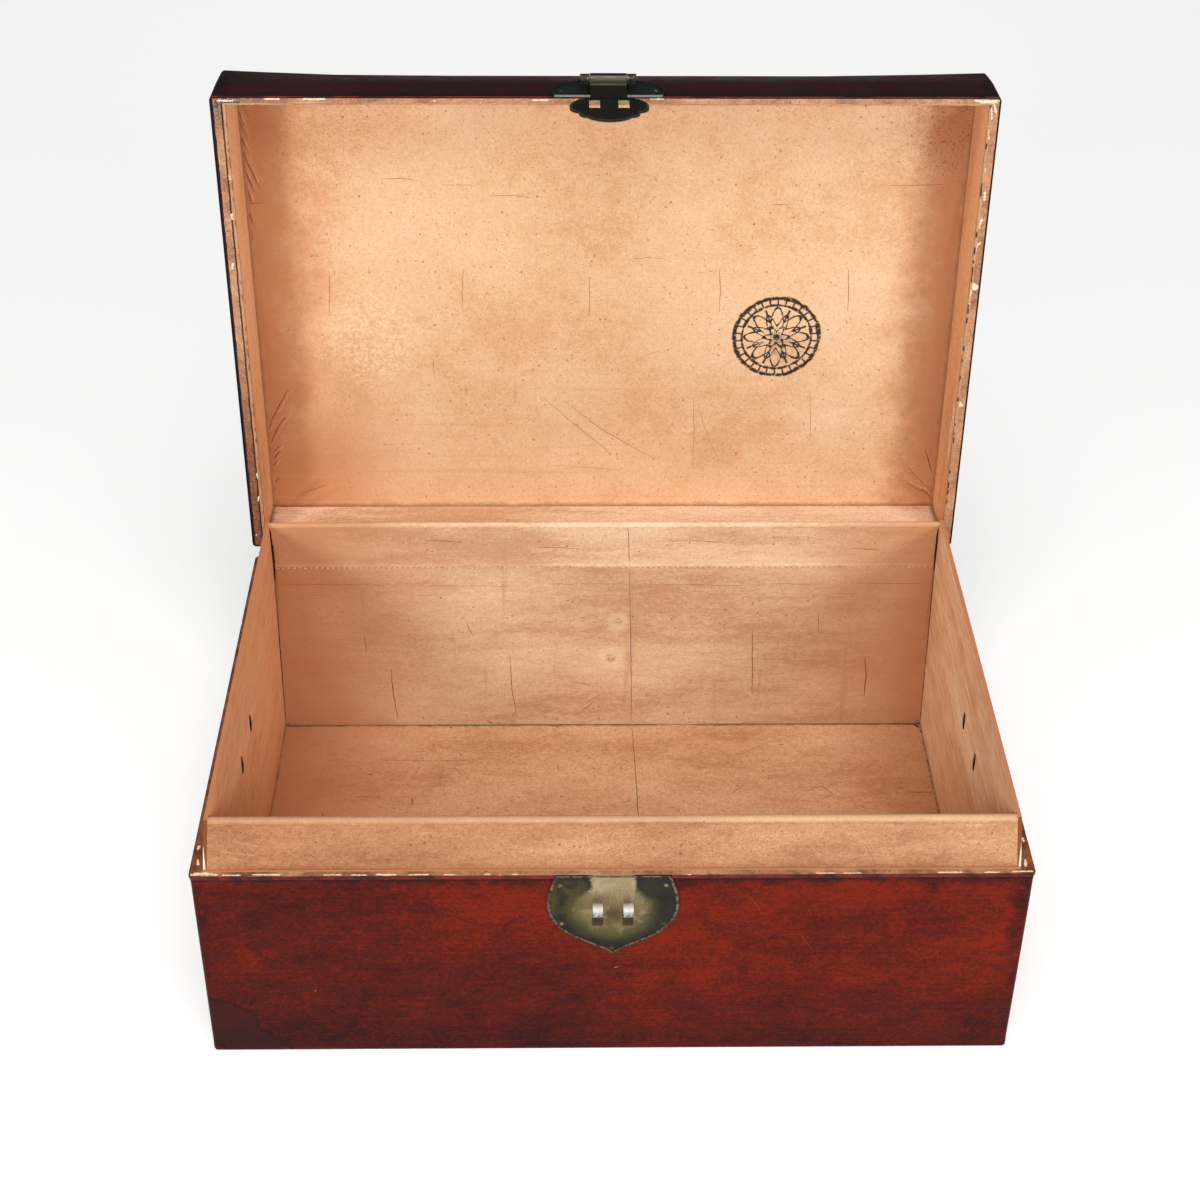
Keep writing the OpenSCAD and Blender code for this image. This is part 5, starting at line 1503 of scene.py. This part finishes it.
class Loom:
    """A Geometry Nodes tree for what repeats along a line, with named inputs for its sizes."""

    def __init__(self, name, sizes):
        self.tree = bpy.data.node_groups.new(name, "GeometryNodeTree")
        face = self.tree.interface
        face.new_socket(name="Geometry", in_out="INPUT", socket_type="NodeSocketGeometry")
        self.keys = {}
        for label, kind, value in sizes:
            socket = face.new_socket(name=label, in_out="INPUT", socket_type="NodeSocket" + kind)
            socket.default_value = value
            self.keys[label] = socket.identifier
        face.new_socket(name="Geometry", in_out="OUTPUT", socket_type="NodeSocketGeometry")
        self.takes = self.tree.nodes.new("NodeGroupInput").outputs
        self.end = self.tree.nodes.new("NodeGroupOutput").inputs[0]

    def put(self, kind, feeds, **settings):
        node = self.tree.nodes.new(kind)
        for key, value in settings.items():
            setattr(node, key, value)
        for name, value in feeds.items():
            if isinstance(value, bpy.types.NodeSocket):
                self.tree.links.new(value, node.inputs[name])
            else:
                node.inputs[name].default_value = value
        return node.outputs

    def row(self):
        """Points at an even pitch along the line that comes in."""
        curve = self.put("GeometryNodeMeshToCurve", {"Mesh": self.takes["Geometry"]})["Curve"]
        return self.put("GeometryNodeResampleCurve",
                        {"Curve": curve, "Length": self.takes["Pitch"]}, mode="LENGTH")["Curve"]

    def chance(self, low, high, extra):
        """A random vector for each item, from the tree's own seed."""
        seed = self.put("ShaderNodeMath", {0: self.takes["Seed"], 1: float(extra)},
                        operation="ADD")
        return self.put("FunctionNodeRandomValue", {0: low, 1: high, "Seed": seed[0]},
                        data_type="FLOAT_VECTOR")[0]

    def spread(self, size, extra):
        """A random vector for each item, up to size either way."""
        share = self.chance((-1, -1, -1), (1, 1, 1), extra)
        return self.put("ShaderNodeVectorMath", {0: share, 1: size}, operation="MULTIPLY")[0]

    def finish(self, instances, material):
        whole = self.put("GeometryNodeRealizeInstances", {"Geometry": instances})["Geometry"]
        done = self.put("GeometryNodeSetMaterial", {"Geometry": whole, "Material": material})
        self.tree.links.new(done["Geometry"], self.end)


def stitch_loom(name, material):
    """Short rounded stitches lying along the line, each a little different."""
    loom = Loom(name, [("Pitch", "Float", 0.0058), ("Stitch", "Vector", (0.004, 0.0008, 0.0006)),
                       ("Stray", "Vector", (0.0003, 0.0001, 0.0003)), ("Seed", "Int", 3)])
    bead = loom.put("GeometryNodeMeshUVSphere", {"Segments": 8, "Rings": 6, "Radius": 0.5})["Mesh"]
    bead = loom.put("GeometryNodeTransform", {"Geometry": bead, "Scale": loom.takes["Stitch"]})
    tangent = loom.put("GeometryNodeInputTangent", {})["Tangent"]
    turn = loom.put("FunctionNodeAlignRotationToVector", {"Vector": tangent}, axis="X")["Rotation"]
    size = loom.chance((0.7, 0.8, 0.8), (1.15, 1.2, 1.2), 1)
    rows = loom.put("GeometryNodeInstanceOnPoints",
                    {"Points": loom.row(), "Instance": bead["Geometry"], "Rotation": turn,
                     "Scale": size})["Instances"]
    stray = loom.spread(loom.takes["Stray"], 2)
    rows = loom.put("GeometryNodeTranslateInstances",
                    {"Instances": rows, "Translation": stray})["Instances"]
    loom.finish(rows, material)
    return loom


def flake_loom(name, material):
    """Ragged flakes of the white ground, lying flat and crowded along the line."""
    loom = Loom(name, [("Pitch", "Float", 0.0011), ("Small", "Vector", (0.001, 0.0005, 0.0002)),
                       ("Large", "Vector", (0.004, 0.0015, 0.0005)),
                       ("Turn", "Vector", (0.04, 0.04, 0.5)),
                       ("Stray", "Vector", (0.001, 0.001, 0.0001)), ("Seed", "Int", 5)])
    chip = loom.put("GeometryNodeMeshIcoSphere", {"Radius": 0.5, "Subdivisions": 2})["Mesh"]
    turn = loom.spread(loom.takes["Turn"], 1)
    rows = loom.put("GeometryNodeInstanceOnPoints",
                    {"Points": loom.row(), "Instance": chip, "Rotation": turn})["Instances"]
    size = loom.chance(loom.takes["Small"], loom.takes["Large"], 2)
    rows = loom.put("GeometryNodeScaleInstances", {"Instances": rows, "Scale": size})["Instances"]
    stray = loom.spread(loom.takes["Stray"], 3)
    rows = loom.put("GeometryNodeTranslateInstances",
                    {"Instances": rows, "Translation": stray})["Instances"]
    loom.finish(rows, material)
    return loom


def grow(name, lines, loom, sizes, body):
    """Runs a tree on lines of points in millimetres and keeps the result as a plain mesh."""
    points, edges = [], []
    for line in lines:
        first = len(points)
        points += [tuple(v * MM for v in p) for p in line]
        edges += [(first + i, first + i + 1) for i in range(len(line) - 1)]
    guide = bpy.data.meshes.new(name + "_guide")
    guide.from_pydata(points, edges, [])
    piece = link_object(name, guide)
    modifier = piece.modifiers.new(name, "NODES")
    modifier.node_group = loom.tree
    for label, value in sizes.items():
        modifier[loom.keys[label]] = value
    bpy.context.view_layer.update()
    evaluated = piece.evaluated_get(bpy.context.evaluated_depsgraph_get())
    mesh = bpy.data.meshes.new_from_object(evaluated)
    piece.modifiers.clear()
    piece.data = mesh
    bpy.data.meshes.remove(guide)
    for face in mesh.polygons:
        face.use_smooth = True
    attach(piece, body)


def make_surfaces():
    return {
        "wall": Surface(["back_lining_left", "back_lining_right", "back_lip_leather"],
                        lambda x, z: (x, 0, z), (0, 1, 0)),
        "floor": Surface(["floor_lining_left", "floor_lining_right"],
                         lambda x, y: (x, y, 150), (0, 0, -1)),
        "left": Surface(["side_liner_left"], lambda y, z: (0, y, z), (-1, 0, 0)),
        "right": Surface(["side_liner_right"], lambda y, z: (0, y, z), (1, 0, 0)),
        "lip": Surface(["front_liner_leather"], lambda x, z: (x, -400, z), (0, 1, 0)),
        "front": Surface(["base_leather"], lambda x, z: (x, -400, z), (0, 1, 0)),
        "panel": Surface(["lid_panel_lining"], lambda x, y: (x, y, 240), (0, 0, 1), on_lid=True),
        "lid_right": Surface(["lid_right_lining"], lambda y, z: (0, y, z), (1, 0, 0), on_lid=True),
        "lid_left": Surface(["lid_left_lining"], lambda y, z: (0, y, z), (-1, 0, 0), on_lid=True),
    }


# Where the two hides of the wall and of the floor butt
BUTT_SEAMS = [
    ("wall", 0.6, [(23.6, 272), (26, 222)]), ("wall", 0.6, [(26.2, 212), (31.6, 12.5)]),
    ("floor", 0.8, [(31.8, 214), (33.6, 127), (34.8, 40), (36, -60), (37, -180)]),
]
# Bare scuffs on the lid's side linings
LID_SCUFFS = [
    ("lid_right", 9.0, [(83, 240), (97, 234), (113, 228)]),
    ("lid_right", 8.0, [(97, 237), (110, 240), (133, 239), (158, 237)]),
    ("lid_right", 8.0, [(9, 241), (13, 234), (17, 228)]),
    ("lid_right", 8.0, [(15, 231), (20, 229), (26, 228)]),
    ("lid_left", 3.5, [(-169, 228), (-163, 227)]),
    ("lid_left", 3.0, [(-128, 227), (-125, 227)]),
]
# Lit crests beside the creases: which of them, the crest's width and its step aside in x and y
CRESTS = [(0, 6, 1.2, 2.4, 1.5), (8, 13, 1.3, 1.5, 3.4), (14, 17, 1.5, -0.5, -3.6)]


def make_marks(materials):
    surfaces = make_surfaces()
    crests = [("panel", width, [(x + dx, y + dy) for x, y in stops])
              for first, last, width, dx, dy in CRESTS for stops in PANEL_CREASES[first:last]]
    ripples = [("wall", 0.5, [(x0, 196 + 1.2 * math.sin(x0)), (x1, 195 + 1.5 * math.sin(x1))])
               for x0, x1 in ((-345, -232), (-190, -96), (-60, 20), (44, 150), (178, 230),
                              (266, 346))]
    ripples += [("wall", 0.4, [(x0, 182 + 2 * math.sin(x0)), (x0 + 34, 183)])
                for x0 in (-320, -210, -20, 110, 240)]
    rows = [
        ("base_scratches", "base", "scratch", BASE_SCRATCHES, 11, 0.1),
        ("base_pale_marks", "base", "pale_mark", BASE_PALE_MARKS, 12, 0.1),
        ("dark_marks", "base", "dark_mark", DARK_MARKS, 17, 0.05),
        ("panel_creases", "lid", "crease", [("panel", 1.1, stops) for stops in PANEL_CREASES],
         18, 0.05),
        ("panel_crests", "lid", "crest", crests, 19, 0.12),
        ("lid_scratches", "lid", "lid_scratch", [("panel", *mark) for mark in PANEL_SCRATCHES],
         13, 0.1),
        ("base_butt_seams", "base", "dark_thread", BUTT_SEAMS, 14, 0.1),
        ("wall_creases", "base", "lid_scratch", ripples, 15, 0.05),
        ("lid_wall_scuffs", "lid", "gesso", LID_SCUFFS, 16, 0.1),
    ]
    for name, body, finish, marks, seed, lift in rows:
        slot = "dark_leather" if name == "dark_marks" else "tan_leather"
        lay_marks(name, body, materials[finish], slot, surfaces, marks, seed, lift)


def make_threads(materials):
    """The seam along the back wall, and the strays at the floor's right edge."""
    wall = Surface(["back_lining_left", "back_lining_right"], lambda x, z: (x, 0, z), (0, 1, 0))
    pale = stitch_loom("pale_stitches", materials["thread"])
    dark = stitch_loom("thread_holes", materials["thread_hole"])

    def seam(x0, x1):
        line = []
        for x in np.linspace(x0, x1, 60).tolist():
            z = SEAM_Z - 0.9 + 0.5 * waves(x, 0, 0, 40, 1.1)
            place, _ = wall.find(x, min(z, 217.4))
            line.append((x, place.y - 0.1, place.z))
        return line

    corner = [(351.6 + 0.3 * math.sin(i), 176 - 10 * i, 11.5) for i in range(12)]
    rows = [
        ("seam_stitches", [seam(-346, 25), seam(31, 346)], pale, 0.0058,
         (0.0040, 0.0007, 0.0008), (0.0002, 0.00006, 0.0002), 3),
        ("seam_holes", [seam(-343.1, 25), seam(33.9, 346)], dark, 0.0058,
         (0.0016, 0.0006, 0.0007), (0.0002, 0.00006, 0.0002), 4),
        ("corner_stitches", [corner], dark, 0.0085,
         (0.0048, 0.0009, 0.0007), (0.0006, 0.0002, 0.0002), 8),
    ]
    for name, lines, loom, pitch, stitch, stray, seed in rows:
        grow(name, lines, loom, {"Pitch": pitch, "Stitch": stitch, "Stray": stray, "Seed": seed},
             "base")


# Places where the white ground shows: first and last x, and how far back from the front face
BASE_FLAKES = [(-369, -345, 2.6), (-365, -350, 4.4), (-340, -326, 1.6), (-314, -291, 2.2),
               (-252, -238, 1.4), (-228, -216, 1.0), (-207, -191, 1.4), (-178, -162, 1.4),
               (-147, -138, 1.0), (-112, -108, 1.2), (-88, -84, 1.0), (178, 193, 1.2),
               (202, 217, 1.0), (285, 305, 1.5), (326, 338, 1.4), (351, 368, 2.2)]
LID_FLAKES = [(-322, -309, 2.4), (-286, -266, 2.4), (-71, -57, 3.2), (-31, -28, 3.0),
              (40, 51, 1.8), (346, 368, 3.4), (350, 366, 5.0), (-366, -352, 4.2)]


def make_flakes(materials):
    loom = flake_loom("ground_flakes", materials["gesso"])
    sizes = {"Pitch": 0.0008, "Small": (0.0012, 0.0006, 0.0002),
             "Large": (0.0040, 0.0028, 0.0004), "Turn": (0.03, 0.03, 0.5),
             "Stray": (0.0013, 0.0013, 0.00005), "Seed": 5}
    z = RIM_Z - 0.2
    lines = [[(x0, 0.6 * waves(x0, 0, 0, 7) - CASE_Y + back, z),
              (x1, 0.6 * waves(x1, 0, 0, 7) - CASE_Y + back, z)] for x0, x1, back in BASE_FLAKES]
    lines += [[(-367.0, -212, z), (-366.4, -208, z)], [(-364, -232, z), (-365, -226, z)],
              [(367.0, -206, z), (366.4, -201, z)], [(363, -238, z), (364, -230, z)]]
    grow("base_ground_flakes", lines, loom, sizes, "base")
    z = LID_Z + 0.15
    lines = [swing_open([(x0, -CASE_Y + back, z), (x1, -CASE_Y + back, z)])
             for x0, x1, back in LID_FLAKES]
    chips = [(-361.3, -169.6, -361.4, -164.6), (-362.7, -129, -362.6, -124.6),
             (-366.3, -77.6, -367.4, -72.4), (-362.4, 158.5, -361.9, 163.3),
             (-363.1, 186.2, -363.8, 191), (361.4, -176, 361.2, -172), (364, -153, 364.3, -144.6),
             (364, -125, 361.6, -115.8), (362, -99, 361.4, -90.5), (361, -62.8, 361, -28.2),
             (361, -236, 362.4, -226), (360.6, -222, 361.4, -206), (363.5, -240, 366, -232)]
    lines += [swing_open([(x0, y0, z), (x1, y1, z)]) for x0, y0, x1, y1 in chips]
    grow("lid_ground_flakes", lines, loom,
         {**sizes, "Small": (0.0010, 0.0002, 0.0008), "Large": (0.0036, 0.0004, 0.0026),
          "Turn": (0.03, 0.5, 0.03), "Stray": (0.0011, 0.00005, 0.0011)},
         "lid")


# Finishes for the CAD nodes that stay

NODE_FINISH = {
    "camphor": ["base_floor_board", "base_front_board", "base_back_board", "base_left_board",
                "base_right_board", "front_liner_board", "back_liner_board", "lid_back_board"],
    "bare_board": ["side_liner_left", "side_liner_right"],
    "lip": ["back_lip_leather"],
    "front_lip": ["front_liner_leather"],
    "wall": ["back_lining_left", "back_lining_right"],
    "floor": ["floor_lining_left", "floor_lining_right"],
    "lid_sill": ["lid_lining_back"],
    "lock_brass": ["lock_plate"],
    "steel": ["lock_staple_left", "lock_staple_right", "hinge_pin_left", "hinge_pin_right"],
    "nail": ["lock_plate_nails", "hinge_base_nails", "hinge_lid_nails", "hasp_plate_nails"],
    "bronze": ["hasp", "hasp_plate", "hasp_pin"],
    "post_metal": ["handle_posts_left", "handle_posts_right"],
    "fitting_brass": ["hinge_base_leaf_left", "hinge_base_leaf_right", "hinge_lid_leaf_left",
                      "hinge_lid_leaf_right", "handle_roses_left", "handle_roses_right",
                      "handle_left", "handle_right"],
}


def finish_nodes(materials):
    for finish, names in NODE_FINISH.items():
        for name in names:
            mesh = nodes[name].data
            mesh.materials.clear()
            mesh.materials.append(materials[finish])


add_camera()
add_studio()
materials = make_materials()
finish_nodes(materials)
make_base_leather(materials)
make_bottom_paper(materials)
make_base_rim(materials)
make_lid_leather(materials)
make_lid_rim(materials)
make_lid_panel(materials)
for leaning_node, leaning_piece, finish, leaning_slot in LEANING:
    lean_node(leaning_node, leaning_piece, materials[finish], leaning_slot)
make_marks(materials)
make_threads(materials)
make_flakes(materials)
